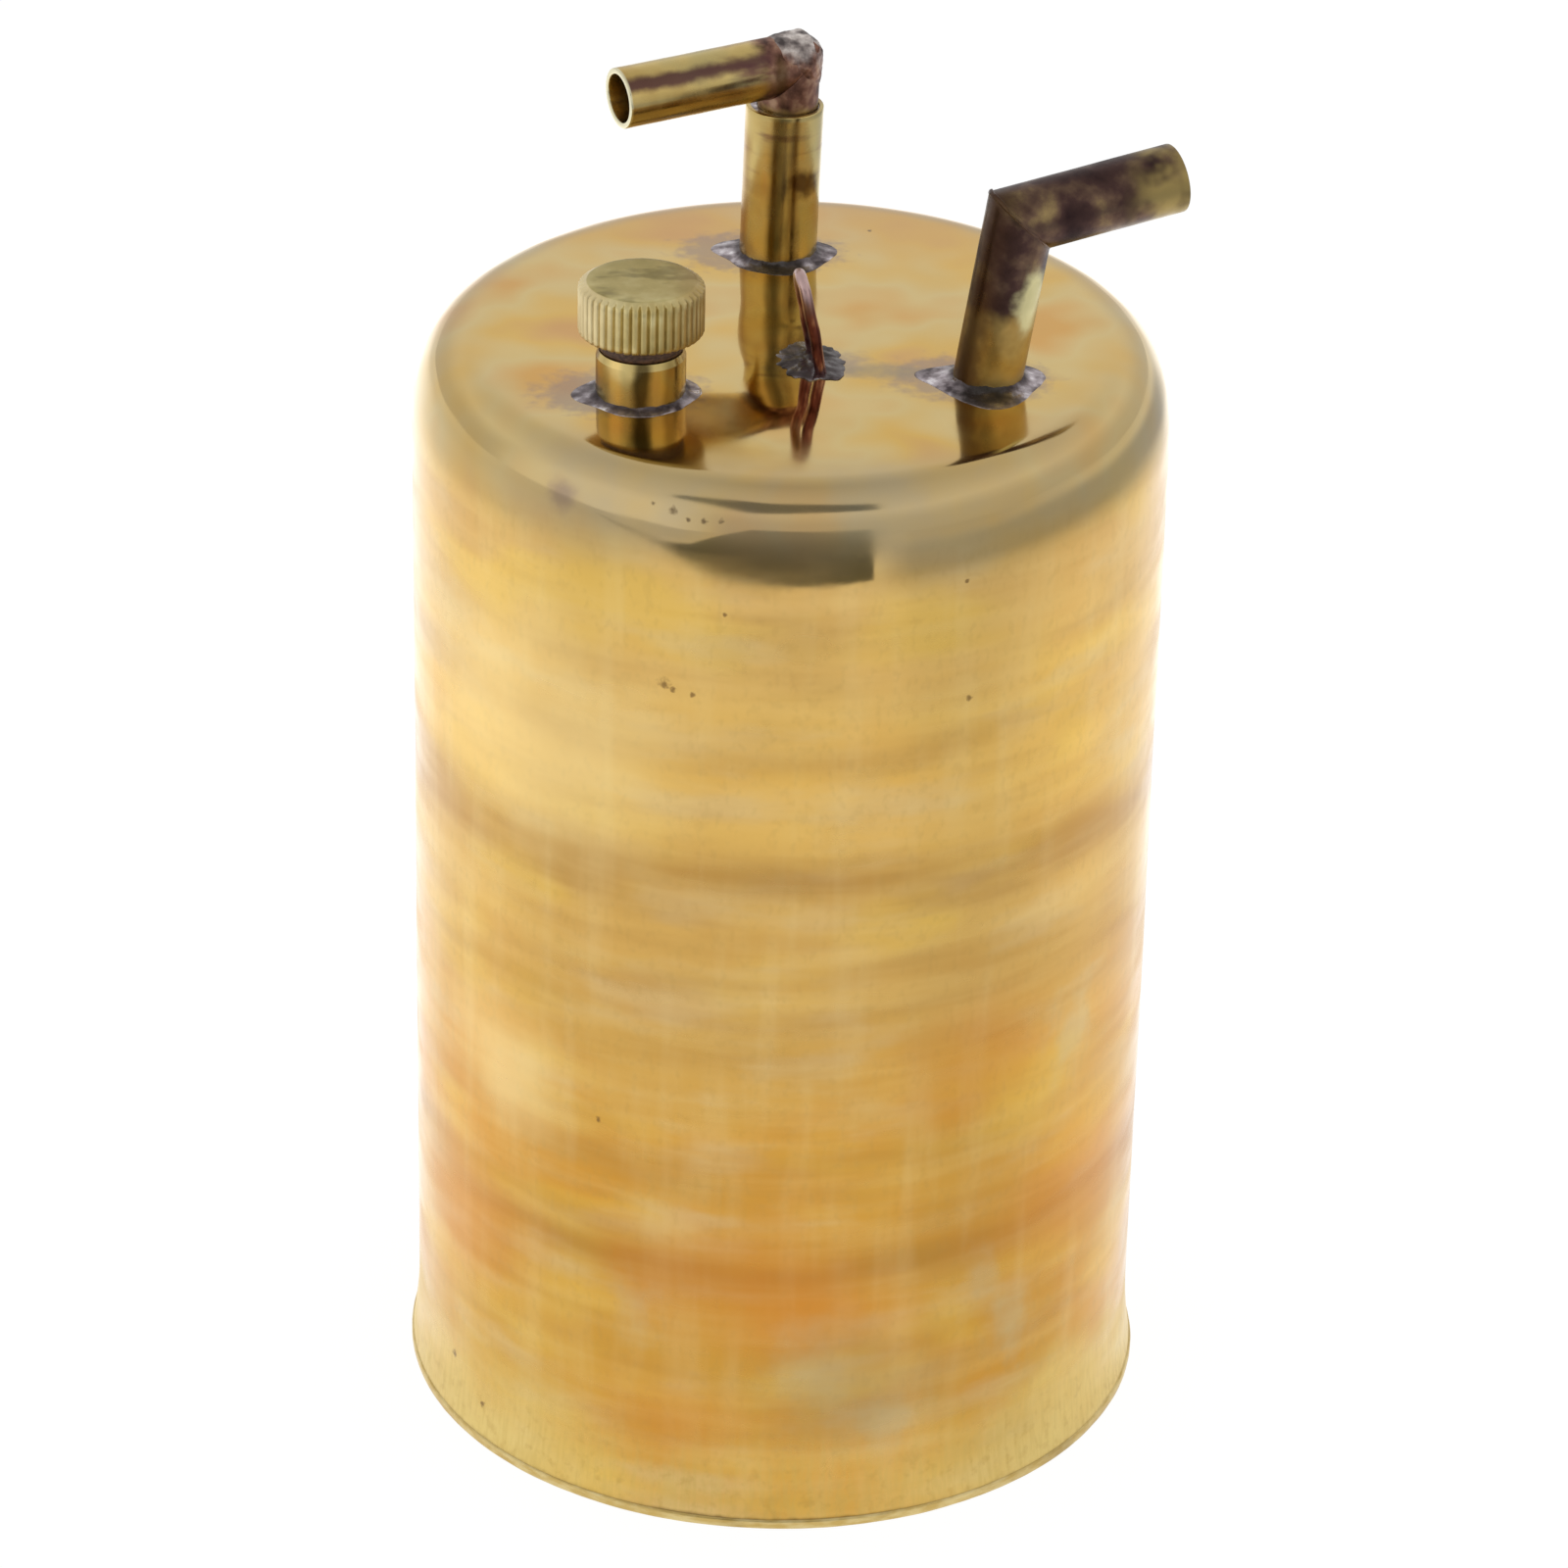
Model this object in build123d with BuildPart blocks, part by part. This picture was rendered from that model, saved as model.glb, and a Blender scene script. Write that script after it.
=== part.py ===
"""Brass fuel pot of a jeweller's soldering torch.

A drawn brass tank with a soldered base, a filler neck closed by a knurled
screw, an air inlet with a dip tube, a vapour outlet and a wire hanging eye.
Millimetres, +Z up, origin at the centre of the base.
"""
import os
from math import cos, radians, sin

from build123d import *

# ---------------------------------------------------------------- dimensions
# tank
TANK_R = 40.0             # outside radius at the shoulder
WAIST_R = 39.8            # outside radius just above the base flare
FLARE_R = 40.5            # outside radius where the wall meets the base
FLARE_TOP = 10.0          # height at which the flare ends
LID_Z = 124.5             # height of the flat lid
SHOULDER_R = 9.0          # rounding between wall and lid
WALL = 0.8                # sheet thickness of the drawn cup
PLATE_R = 40.75           # base disc
PLATE_T = 1.2
PLATE_EDGE = 0.3          # rounding of the disc's edge
SEAM_LEG = 1.5            # solder run inside the base seam

# filler neck, screw and washer
NECK_AT = (-15.5, -17.4)  # where the neck stands on the lid
NECK_R = 4.65
NECK_RISE = 4.75          # above the lid
NECK_DROP = 4.0           # below the lid
NECK_CHAMFER = 0.7        # height of the bevel at the mouth
NECK_BEVEL = 0.25         # width of that bevel
WASHER_R = 4.4
WASHER_HOLE_R = 3.75
WASHER_T = 1.9
HEAD_R = 6.5              # knurled head
HEAD_H = 5.65
HEAD_CHAMFER_W = 0.7
HEAD_CHAMFER_H = 0.45
HEAD_RELIEF = 0.2         # small bevel under the head
KNURL_COUNT = 44
KNURL_R = 0.3             # radius of each straight groove
KNURL_DEPTH = 0.22
STEM_CORE_R = 2.95        # root of the screw thread
STEM_LENGTH = 9.4         # below the head
STEM_CHAMFER = 0.4
PITCH = 1.0
THREAD_DEPTH = 0.48
RIDGE_ROOT = 0.62         # width of a thread ridge at its root
RIDGE_CREST = 0.16        # width of a thread ridge at its crest
THREAD_GAP = 0.12         # radial clearance between the two threads
BLEND = 0.05              # how far a ridge sinks into the metal that carries it

# air inlet: sleeve on the lid, long dip tube through it, side spigot
INLET_AT = (-1.83, 18.6)
INLET_LEAN = 1.44         # degrees towards +X
SLEEVE_R = 4.15
SLEEVE_BORE_R = 3.65
SLEEVE_RISE = 17.2
INLET_SHIFT = 0.3         # the dip tube stands off-centre in its sleeve
INLET_R = 3.3             # dip tube and elbow, with their skin of solder
INLET_BORE_R = 2.6
INLET_ELBOW = 21.7        # elbow height above the lid
INLET_SPIGOT = 20.0       # from the elbow centre to the open end
INLET_AZ, INLET_EL = 207.0, -1.9
INLET_SEAT = 16.0         # hose seat: the open end, dressed slightly smaller
INLET_SEAT_R = 3.14
CORNER_CUT = 3.4          # the outer corner of the elbow is cut off here
CORNER_BLOB_R = 4.05      # and closed with a rounded blob of solder
DIP_CLEARANCE = 8.0       # dip tube's open end above the base
FILL_T = 0.8              # solder between dip tube and sleeve
FILL_SINK = 0.15          # how far it lies below the sleeve's mouth

# vapour outlet: leaning riser and side spigot
OUTLET_AT = (20.2, -12.3)
OUTLET_AZ, OUTLET_EL = -10.0, 81.5
OUTLET_R = 3.66           # riser and elbow, with their skin of oxide and solder
OUTLET_BORE_R = 3.2
OUTLET_ELBOW = 18.05      # along the riser, from lid to elbow centre
OUTLET_SPIGOT = 17.75
OUTLET_SPIGOT_AZ, OUTLET_SPIGOT_EL = 24.0, 6.5
OUTLET_SEAT = 13.2        # hose seat, as on the inlet
OUTLET_SEAT_R = 3.5
OUTLET_DROP = 4.0         # riser's lower end below the lid
BAND_T = 0.25             # solder band on the outlet mitre
BAND_W = 1.6
HOLE_GAP = 0.1            # between a tube and its hole in the lid
LID_REACH = 6.0           # how far cutting rods stand out above and below the lid
ELBOW_REACH = 8.0         # length of each leg of an elbow's envelope

# wire eye
EYE_BACK = (1.6, -7.3)    # feet of the hairpin on the lid
EYE_FRONT = (3.0, -12.35)
EYE_LEAN = (-1.25, -2.2)  # how far the bend leans from above the feet
EYE_RISE = 11.3
WIRE_R = 0.55

# solder on the lid: centre offset, half widths and thickness
NECK_PATCH = ((-1.0, 0.0), (7.4, 5.7), 0.45)
INLET_PATCH = ((-0.6, 0.0), (6.8, 5.4), 0.6)
OUTLET_PATCH = ((-1.4, 0.2), (7.6, 4.9), 0.6)
EYE_PATCH = ((0.0, 0.0), (3.7, 4.6), 0.5)
PATCH_TAPER = 40.0        # degrees


# ------------------------------------------------------------------- helpers
def direction(azimuth, elevation):
    """Unit vector from degrees around +Z from +X and degrees above level."""
    az, el = radians(azimuth), radians(elevation)
    return Vector(cos(el) * cos(az), cos(el) * sin(az), sin(el))


def on_lid(place):
    """A point of the lid's top face."""
    return Vector(place[0], place[1], LID_Z)


def rod(start, along, radius, length):
    """A plain round bar, for cutting holes and building envelopes."""
    with BuildPart() as bar:
        with BuildSketch(Plane(origin=start, z_dir=along)):
            Circle(radius)
        extrude(amount=length)
    return bar.part


def tube(start, along, radius, bore, length):
    """A straight round tube."""
    with BuildPart() as pipe:
        with BuildSketch(Plane(origin=start, z_dir=along)):
            Circle(radius)
            Circle(bore, mode=Mode.SUBTRACT)
        extrude(amount=length)
    return pipe.part


def through_lid(foot, along, radius):
    """A rod that passes through the lid at `foot`, for cutting."""
    return rod(foot - along * LID_REACH, along, radius, 2 * LID_REACH)


def elbow_rod(elbow, rise, run, radius):
    """The filled outer shape of a mitred elbow."""
    mitre = Plane(origin=elbow, z_dir=rise + run)
    with BuildPart() as legs:
        add(rod(elbow - rise * ELBOW_REACH, rise, radius, 2 * ELBOW_REACH))
        split(bisect_by=mitre, keep=Keep.BOTTOM)
    with BuildPart() as both:
        add(rod(elbow - run * ELBOW_REACH, run, radius, 2 * ELBOW_REACH))
        split(bisect_by=mitre, keep=Keep.TOP)
        add(legs.part)
    return both.part


def solder_patch(place, patch, rods):
    """A thin bevelled puddle of solder on the lid, cut by the rods that stand in it."""
    shift, half, thick = patch
    centre = on_lid(place) + Vector(shift[0], shift[1], 0)
    with BuildPart() as puddle:
        with BuildSketch(Plane(origin=centre, z_dir=(0, 0, 1))):
            Ellipse(half[0], half[1])
        extrude(amount=thick, taper=PATCH_TAPER)
        add(rods, mode=Mode.SUBTRACT)
    return puddle.part


def thread_ridge(root_r, crest_r, bottom, height):
    """One helical ridge of the thread, pointing from root_r to crest_r."""
    half_root, half_crest = RIDGE_ROOT / 2, RIDGE_CREST / 2
    with BuildPart() as ridge:
        with BuildLine() as path:
            Helix(pitch=PITCH, height=height, radius=root_r, center=(0, 0, bottom))
        with BuildSketch(Plane(origin=(0, 0, bottom), x_dir=(1, 0, 0), z_dir=(0, -1, 0))):
            with BuildLine():
                Polyline(
                    (root_r, -half_root),
                    (crest_r, -half_crest),
                    (crest_r, half_crest),
                    (root_r, half_root),
                    close=True,
                )
            make_face()
        sweep(path=path.line, is_frenet=True)
    return ridge.part


# --------------------------------------------------------- directions, places
inlet_up = direction(0, 90 - INLET_LEAN)
inlet_run = direction(INLET_AZ, INLET_EL)
sleeve_foot = on_lid(INLET_AT)
inlet_foot = sleeve_foot + Vector(INLET_SHIFT, 0, 0)
inlet_elbow = inlet_foot + inlet_up * INLET_ELBOW
inlet_mitre = Plane(origin=inlet_elbow, z_dir=inlet_up + inlet_run)
inlet_corner = (inlet_up - inlet_run).normalized()
corner_cut = Plane(origin=inlet_elbow + inlet_corner * CORNER_CUT, z_dir=inlet_corner)
dip_length = (LID_Z - DIP_CLEARANCE) / cos(radians(INLET_LEAN))

outlet_up = direction(OUTLET_AZ, OUTLET_EL)
outlet_run = direction(OUTLET_SPIGOT_AZ, OUTLET_SPIGOT_EL)
outlet_foot = on_lid(OUTLET_AT)
outlet_elbow = outlet_foot + outlet_up * OUTLET_ELBOW
outlet_mitre = Plane(origin=outlet_elbow, z_dir=outlet_up + outlet_run)

neck_bottom = LID_Z - NECK_DROP
neck_top = LID_Z + NECK_RISE
head_bottom = neck_top + WASHER_T
mitre_spare = 2 * OUTLET_R  # extra length on a tube before its mitre is cut

os.makedirs("parts", exist_ok=True)


def write(shape, name):
    shape.label = name
    export_step(shape, f"parts/{name}.step")


# ------------------------------------------------------------ tank and base
inlet_hole = through_lid(inlet_foot, inlet_up, INLET_R + HOLE_GAP)
outlet_hole = through_lid(outlet_foot, outlet_up, OUTLET_R + HOLE_GAP)

with BuildPart() as tank_shell:
    shoulder_z = LID_Z - SHOULDER_R
    lid_r = TANK_R - SHOULDER_R
    with BuildSketch(Plane.XZ):
        with BuildLine():
            flare_mid = ((FLARE_R + 3 * WAIST_R) / 4, (PLATE_T + FLARE_TOP) / 2)
            ThreePointArc((FLARE_R, PLATE_T), flare_mid, (WAIST_R, FLARE_TOP))
            Line((WAIST_R, FLARE_TOP), (TANK_R, shoulder_z))
            RadiusArc((TANK_R, shoulder_z), (lid_r, LID_Z), -SHOULDER_R)
            Line((lid_r, LID_Z), (0, LID_Z))
            Line((0, LID_Z), (0, LID_Z - WALL))
            Line((0, LID_Z - WALL), (lid_r, LID_Z - WALL))
            RadiusArc((lid_r, LID_Z - WALL), (TANK_R - WALL, shoulder_z), SHOULDER_R - WALL)
            Line((TANK_R - WALL, shoulder_z), (WAIST_R - WALL, FLARE_TOP))
            inner_mid = (flare_mid[0] - WALL, flare_mid[1])
            ThreePointArc((WAIST_R - WALL, FLARE_TOP), inner_mid, (FLARE_R - WALL, PLATE_T))
            Line((FLARE_R - WALL, PLATE_T), (FLARE_R, PLATE_T))
        make_face()
    revolve(axis=Axis.Z)
    with Locations((NECK_AT[0], NECK_AT[1], LID_Z)):
        Hole(NECK_R + HOLE_GAP, depth=2 * WALL)
    add(inlet_hole, mode=Mode.SUBTRACT)
    add(outlet_hole, mode=Mode.SUBTRACT)
write(tank_shell.part, "tank_shell")

with BuildPart() as base_plate:
    Cylinder(PLATE_R, PLATE_T, align=(Align.CENTER, Align.CENTER, Align.MIN))
    fillet(base_plate.edges().filter_by(GeomType.CIRCLE), PLATE_EDGE)
write(base_plate.part, "base_plate")

with BuildPart() as base_seam_solder:
    mid_wall_r = FLARE_R - WALL / 2
    inner_r = FLARE_R - WALL
    with BuildSketch(Plane.XZ):
        with BuildLine():
            Polyline(
                (mid_wall_r, PLATE_T),
                (inner_r - SEAM_LEG, PLATE_T),
                (inner_r, PLATE_T + SEAM_LEG),
                (mid_wall_r, PLATE_T + SEAM_LEG),
                close=True,
            )
        make_face()
    revolve(axis=Axis.Z)
    add(tank_shell.part, mode=Mode.SUBTRACT)
write(base_seam_solder.part, "base_seam_solder")

# ------------------------------------------------- filler neck, cap, washer
bore_r = STEM_CORE_R + THREAD_DEPTH + THREAD_GAP
neck_plane = Plane(origin=(NECK_AT[0], NECK_AT[1], 0))

with BuildPart() as filler_neck:
    with BuildSketch(Plane.XZ):
        with BuildLine():
            Polyline(
                (bore_r, neck_bottom),
                (NECK_R, neck_bottom),
                (NECK_R, neck_top - NECK_CHAMFER),
                (NECK_R - NECK_BEVEL, neck_top),
                (bore_r, neck_top),
                close=True,
            )
        make_face()
    revolve(axis=Axis.Z)
    inner_height = NECK_RISE + NECK_DROP - 2 * PITCH
    inner_start = neck_bottom + PITCH / 2
    add(thread_ridge(bore_r + BLEND, bore_r - THREAD_DEPTH, inner_start, inner_height))
write(neck_plane * filler_neck.part, "filler_neck")

with BuildPart() as filler_cap:
    with BuildSketch(Plane.XZ):
        with BuildLine():
            head_top = head_bottom + HEAD_H
            Polyline(
                (0, head_bottom),
                (HEAD_R - HEAD_RELIEF, head_bottom),
                (HEAD_R, head_bottom + HEAD_RELIEF),
                (HEAD_R, head_top - HEAD_CHAMFER_H),
                (HEAD_R - HEAD_CHAMFER_W, head_top),
                (0, head_top),
                close=True,
            )
        make_face()
    revolve(axis=Axis.Z)
    with BuildSketch(Plane.XY.offset(head_bottom)):
        with PolarLocations(HEAD_R - KNURL_DEPTH + KNURL_R, KNURL_COUNT):
            Circle(KNURL_R)
    extrude(amount=HEAD_H, mode=Mode.SUBTRACT)
    with BuildSketch(Plane.XY.offset(head_bottom)):
        Circle(STEM_CORE_R)
    extrude(amount=-STEM_LENGTH)
    stem_bottom = head_bottom - STEM_LENGTH
    chamfer(filler_cap.edges().filter_by(GeomType.CIRCLE).sort_by(Axis.Z)[0], STEM_CHAMFER)
    stem_height = STEM_LENGTH - WASHER_T - PITCH
    stem_turns = (stem_bottom + PITCH / 2 - inner_start) / PITCH
    half_pitch_up = PITCH * (round(stem_turns) + 0.5)
    stem_start = inner_start + half_pitch_up
    add(thread_ridge(STEM_CORE_R - BLEND, STEM_CORE_R + THREAD_DEPTH, stem_start, stem_height))
write(neck_plane * filler_cap.part, "filler_cap")

with BuildPart() as cap_washer:
    with BuildSketch(Plane.XY.offset(neck_top)):
        with Locations(NECK_AT):
            Circle(WASHER_R)
            Circle(WASHER_HOLE_R, mode=Mode.SUBTRACT)
    extrude(amount=WASHER_T)
write(cap_washer.part, "cap_washer")

neck_rod = through_lid(on_lid(NECK_AT), Vector(0, 0, 1), NECK_R)
write(solder_patch(NECK_AT, NECK_PATCH, neck_rod), "filler_neck_solder")

# ------------------------------------------------------------------ air inlet
with BuildPart() as inlet_sleeve:
    start = sleeve_foot - inlet_up * LID_REACH
    add(tube(start, inlet_up, SLEEVE_R, SLEEVE_BORE_R, SLEEVE_RISE + LID_REACH))
    split(bisect_by=Plane.XY.offset(LID_Z), keep=Keep.TOP)
write(inlet_sleeve.part, "inlet_sleeve")

with BuildPart() as inlet_dip_tube:
    start = inlet_foot - inlet_up * dip_length
    add(tube(start, inlet_up, INLET_R, INLET_BORE_R, dip_length + INLET_ELBOW + mitre_spare))
    split(bisect_by=inlet_mitre, keep=Keep.BOTTOM)
    split(bisect_by=corner_cut, keep=Keep.BOTTOM)
write(inlet_dip_tube.part, "inlet_dip_tube")

with BuildPart() as inlet_spigot:
    start = inlet_elbow - inlet_run * mitre_spare
    elbow_part = INLET_SPIGOT - INLET_SEAT
    add(tube(start, inlet_run, INLET_R, INLET_BORE_R, elbow_part + mitre_spare))
    split(bisect_by=inlet_mitre, keep=Keep.TOP)
    split(bisect_by=corner_cut, keep=Keep.BOTTOM)
    seat_start = inlet_elbow + inlet_run * elbow_part
    add(tube(seat_start, inlet_run, INLET_SEAT_R, INLET_BORE_R, INLET_SEAT))
write(inlet_spigot.part, "inlet_spigot")

with BuildPart() as inlet_elbow_solder:
    add(elbow_rod(inlet_elbow, inlet_up, inlet_run, INLET_R))
    split(bisect_by=corner_cut, keep=Keep.TOP)
    with Locations(inlet_elbow):
        Sphere(CORNER_BLOB_R, mode=Mode.INTERSECT)
write(inlet_elbow_solder.part, "inlet_elbow_solder")

with BuildPart() as inlet_sleeve_solder:
    fill_top = SLEEVE_RISE - FILL_SINK
    add(rod(sleeve_foot + inlet_up * (fill_top - FILL_T), inlet_up, SLEEVE_BORE_R, FILL_T))
    add(rod(inlet_foot, inlet_up, INLET_R, SLEEVE_RISE), mode=Mode.SUBTRACT)
write(inlet_sleeve_solder.part, "inlet_sleeve_solder")

sleeve_rod = through_lid(sleeve_foot, inlet_up, SLEEVE_R)
write(solder_patch(INLET_AT, INLET_PATCH, sleeve_rod), "inlet_lid_solder")

# -------------------------------------------------------------- vapour outlet
with BuildPart() as outlet_riser:
    start = outlet_foot - outlet_up * OUTLET_DROP
    length = OUTLET_DROP + OUTLET_ELBOW + mitre_spare
    add(tube(start, outlet_up, OUTLET_R, OUTLET_BORE_R, length))
    split(bisect_by=outlet_mitre, keep=Keep.BOTTOM)
write(outlet_riser.part, "outlet_riser")

with BuildPart() as outlet_spigot:
    start = outlet_elbow - outlet_run * mitre_spare
    elbow_part = OUTLET_SPIGOT - OUTLET_SEAT
    add(tube(start, outlet_run, OUTLET_R, OUTLET_BORE_R, elbow_part + mitre_spare))
    split(bisect_by=outlet_mitre, keep=Keep.TOP)
    seat_start = outlet_elbow + outlet_run * elbow_part
    add(tube(seat_start, outlet_run, OUTLET_SEAT_R, OUTLET_BORE_R, OUTLET_SEAT))
write(outlet_spigot.part, "outlet_spigot")

with BuildPart() as outlet_elbow_solder:
    add(elbow_rod(outlet_elbow, outlet_up, outlet_run, OUTLET_R + BAND_T))
    band_low = outlet_mitre.offset(-BAND_W / 2)
    band_high = outlet_mitre.offset(BAND_W / 2)
    split(bisect_by=band_low, keep=Keep.TOP)
    split(bisect_by=band_high, keep=Keep.BOTTOM)
    add(elbow_rod(outlet_elbow, outlet_up, outlet_run, OUTLET_R), mode=Mode.SUBTRACT)
write(outlet_elbow_solder.part, "outlet_elbow_solder")

outlet_rod = through_lid(outlet_foot, outlet_up, OUTLET_R)
write(solder_patch(OUTLET_AT, OUTLET_PATCH, outlet_rod), "outlet_lid_solder")

# ------------------------------------------------------------------- wire eye
back, front = on_lid(EYE_BACK), on_lid(EYE_FRONT)
middle = (back + front) / 2
lean = Vector(EYE_LEAN[0], EYE_LEAN[1], EYE_RISE)
bend_r = (front - back).length / 2
bend_centre = middle + lean.normalized() * (lean.length - bend_r)
half = (front - back) / 2

with BuildPart() as wire_eye:
    with BuildLine() as hairpin:
        Line(back, bend_centre - half)
        ThreePointArc(bend_centre - half, middle + lean, bend_centre + half)
        Line(bend_centre + half, front)
    with BuildSketch(Plane(origin=back, z_dir=lean)):
        Circle(WIRE_R)
    sweep(path=hairpin.line)
    split(bisect_by=Plane.XY.offset(LID_Z), keep=Keep.TOP)
write(wire_eye.part, "wire_eye")

leg_rods = [through_lid(foot, lean.normalized(), WIRE_R) for foot in (back, front)]
eye_centre = ((EYE_BACK[0] + EYE_FRONT[0]) / 2, (EYE_BACK[1] + EYE_FRONT[1]) / 2)
write(solder_patch(eye_centre, EYE_PATCH, leg_rods), "wire_eye_solder")
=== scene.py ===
"""Looks of a brass torch fuel pot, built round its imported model.

The pot's sizes are in millimetres until a mesh is made. The camera and the
stage are in metres. +Z is up, the origin is the centre of the base, and the
front is at -Y.
"""
from math import atan2, cos, exp, hypot, pi, radians, sin

import bmesh
import bpy
from mathutils import Matrix, Vector, noise


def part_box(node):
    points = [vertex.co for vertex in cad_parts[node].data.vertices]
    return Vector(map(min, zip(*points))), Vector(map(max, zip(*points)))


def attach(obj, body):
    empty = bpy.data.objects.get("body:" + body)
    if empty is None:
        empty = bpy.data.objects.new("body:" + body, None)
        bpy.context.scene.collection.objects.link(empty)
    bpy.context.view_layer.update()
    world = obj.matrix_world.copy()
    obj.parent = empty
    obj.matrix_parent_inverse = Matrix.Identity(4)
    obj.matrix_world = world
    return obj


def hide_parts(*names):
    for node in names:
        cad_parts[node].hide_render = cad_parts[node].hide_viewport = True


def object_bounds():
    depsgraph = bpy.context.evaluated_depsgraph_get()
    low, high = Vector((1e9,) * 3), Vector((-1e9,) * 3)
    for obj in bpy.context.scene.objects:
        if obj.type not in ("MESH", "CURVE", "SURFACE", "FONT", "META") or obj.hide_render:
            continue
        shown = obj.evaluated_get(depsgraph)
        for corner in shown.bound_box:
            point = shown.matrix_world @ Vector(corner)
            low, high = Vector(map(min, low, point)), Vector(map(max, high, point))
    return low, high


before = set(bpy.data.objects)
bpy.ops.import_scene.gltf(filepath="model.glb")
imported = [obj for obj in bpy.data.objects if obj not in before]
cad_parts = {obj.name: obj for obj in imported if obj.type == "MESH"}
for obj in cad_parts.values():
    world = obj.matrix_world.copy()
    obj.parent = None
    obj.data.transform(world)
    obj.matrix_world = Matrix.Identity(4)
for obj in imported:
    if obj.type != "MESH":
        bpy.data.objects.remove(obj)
cad_low, cad_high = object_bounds()
scene = bpy.context.scene

MM = 0.001
TURN = 2 * pi
UP = Vector((0, 0, 1))

# ---------- camera
VIEW_TARGET = Vector((0.0001, 0, 0.0698))
VIEW_DISTANCE = 0.7341
VIEW_ELEVATION = radians(28.03)
VIEW_ROLL = radians(1.26)
LENS = 155.1


def add_object(name, data):
    made = bpy.data.objects.new(name, data)
    scene.collection.objects.link(made)
    return made


def add_camera():
    data = bpy.data.cameras.new("camera")
    data.lens = LENS
    camera = add_object("camera", data)
    back = Vector((0, -cos(VIEW_ELEVATION), sin(VIEW_ELEVATION)))
    place = Matrix.Translation(VIEW_TARGET + back * VIEW_DISTANCE)
    tilt = Matrix.Rotation(pi / 2 - VIEW_ELEVATION, 4, "X")
    camera.matrix_world = place @ tilt @ Matrix.Rotation(VIEW_ROLL, 4, "Z")
    scene.camera = camera


add_camera()
scene.view_settings.view_transform = "Standard"

# ---------- driving sizes
# The CAD model's sizes, with a finer front shoulder, dome and wire eye.
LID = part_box("tank_shell")[1].z / MM
TANK_R = 40.0
WAIST_R = 39.8
FLARE_R = 40.5
FLARE_TOP = 10.0
SHOULDER_R = 9.0
# at the front the shoulder is this superellipse
FRONT_SHOULDER_WIDE = 5.2
FRONT_SHOULDER_TALL = 12.5
FRONT_SHOULDER_POWER = 2.5
# beyond this radius the lid curves down towards the front
DOME_FROM = 6.0
DOME_CURVE = 0.0022
WALL = 0.8
PLATE_R = 40.75
PLATE_T = 1.2

NECK_AT = Vector((-15.5, -17.4, 0))
NECK_FOOT = NECK_AT + UP * LID
NECK_R = 4.65
NECK_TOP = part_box("filler_neck")[1].z / MM
HEAD_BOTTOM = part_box("cap_washer")[1].z / MM
HEAD_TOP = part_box("filler_cap")[1].z / MM
HEAD_R = 6.5
STEM_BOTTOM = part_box("filler_cap")[0].z / MM
NECK_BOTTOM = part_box("filler_neck")[0].z / MM
WASHER_R = 4.4
WASHER_HOLE_R = 3.75
CORE_R = 2.95
THREAD_DEPTH = 0.48
PITCH = 1.0
KNURLS = 44
KNURL_START = HEAD_R - 0.62
KNURL_DEPTH = 0.27
KNURL_CROWN = 0.06
GROOVE_SHARE = 0.15


def heading(azimuth, elevation):
    """Unit vector from degrees around +Z from +X and degrees above level."""
    az, el = radians(azimuth), radians(elevation)
    return Vector((cos(el) * cos(az), cos(el) * sin(az), sin(el)))


SLEEVE_FOOT = Vector((-1.83, 18.6, LID))
SLEEVE_R = 4.15
SLEEVE_BORE = 3.65
SLEEVE_RISE = 17.2
INLET_UP = heading(0, 88.56)
INLET_RUN = heading(207, -1.9)
# the inner tube stands a little to the right in its sleeve
INLET_FOOT = SLEEVE_FOOT + Vector((0.3, 0, 0))
INLET_ELBOW = INLET_FOOT + INLET_UP * 21.7
INLET_R = 3.24
INLET_BORE = 2.6
INLET_LENGTH = 20.0
CORNER_CUT = 3.4

OUTLET_FOOT = Vector((20.2, -12.3, LID))
OUTLET_UP = heading(-10, 81.5)
OUTLET_RUN = heading(24, 6.5)
OUTLET_ELBOW = OUTLET_FOOT + OUTLET_UP * 18.05
OUTLET_R = 3.6
OUTLET_BORE = 3.1
OUTLET_LENGTH = 17.75
OUTLET_DROP = 4.0

EYE_BACK = Vector((2.1, -7.3, LID))
EYE_FRONT = Vector((3.0, -12.35, LID))
EYE_LEAN = Vector((-2.0, -2.2, 11.3))
WIRE_R = 0.6

# rings left by drawing the cup, made as shallow grooves and with their darker reflection painted into
# the colour: height, half width, darkness
RINGS = (
    (103.0, 3.0, 0.25),
    (93.5, 4.0, 0.6),
    (78.5, 6.0, 1.0),
    (75.0, 3.5, 0.4),
    (66.5, 3.5, 0.5),
    (62.5, 3.0, 0.5),
    (58.5, 3.0, 0.4),
    (44.4, 4.0, 0.4),
    (32.5, 5.5, 0.9),
)


# ---------- shader graphs
def tone(code):
    """A colour from its sRGB hex code, as linear RGBA."""
    parts = [int(code[i:i + 2], 16) / 255 for i in (1, 3, 5)]
    linear = [c / 12.92 if c < 0.04045 else ((c + 0.055) / 1.055) ** 2.4 for c in parts]
    return (*linear, 1)


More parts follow.
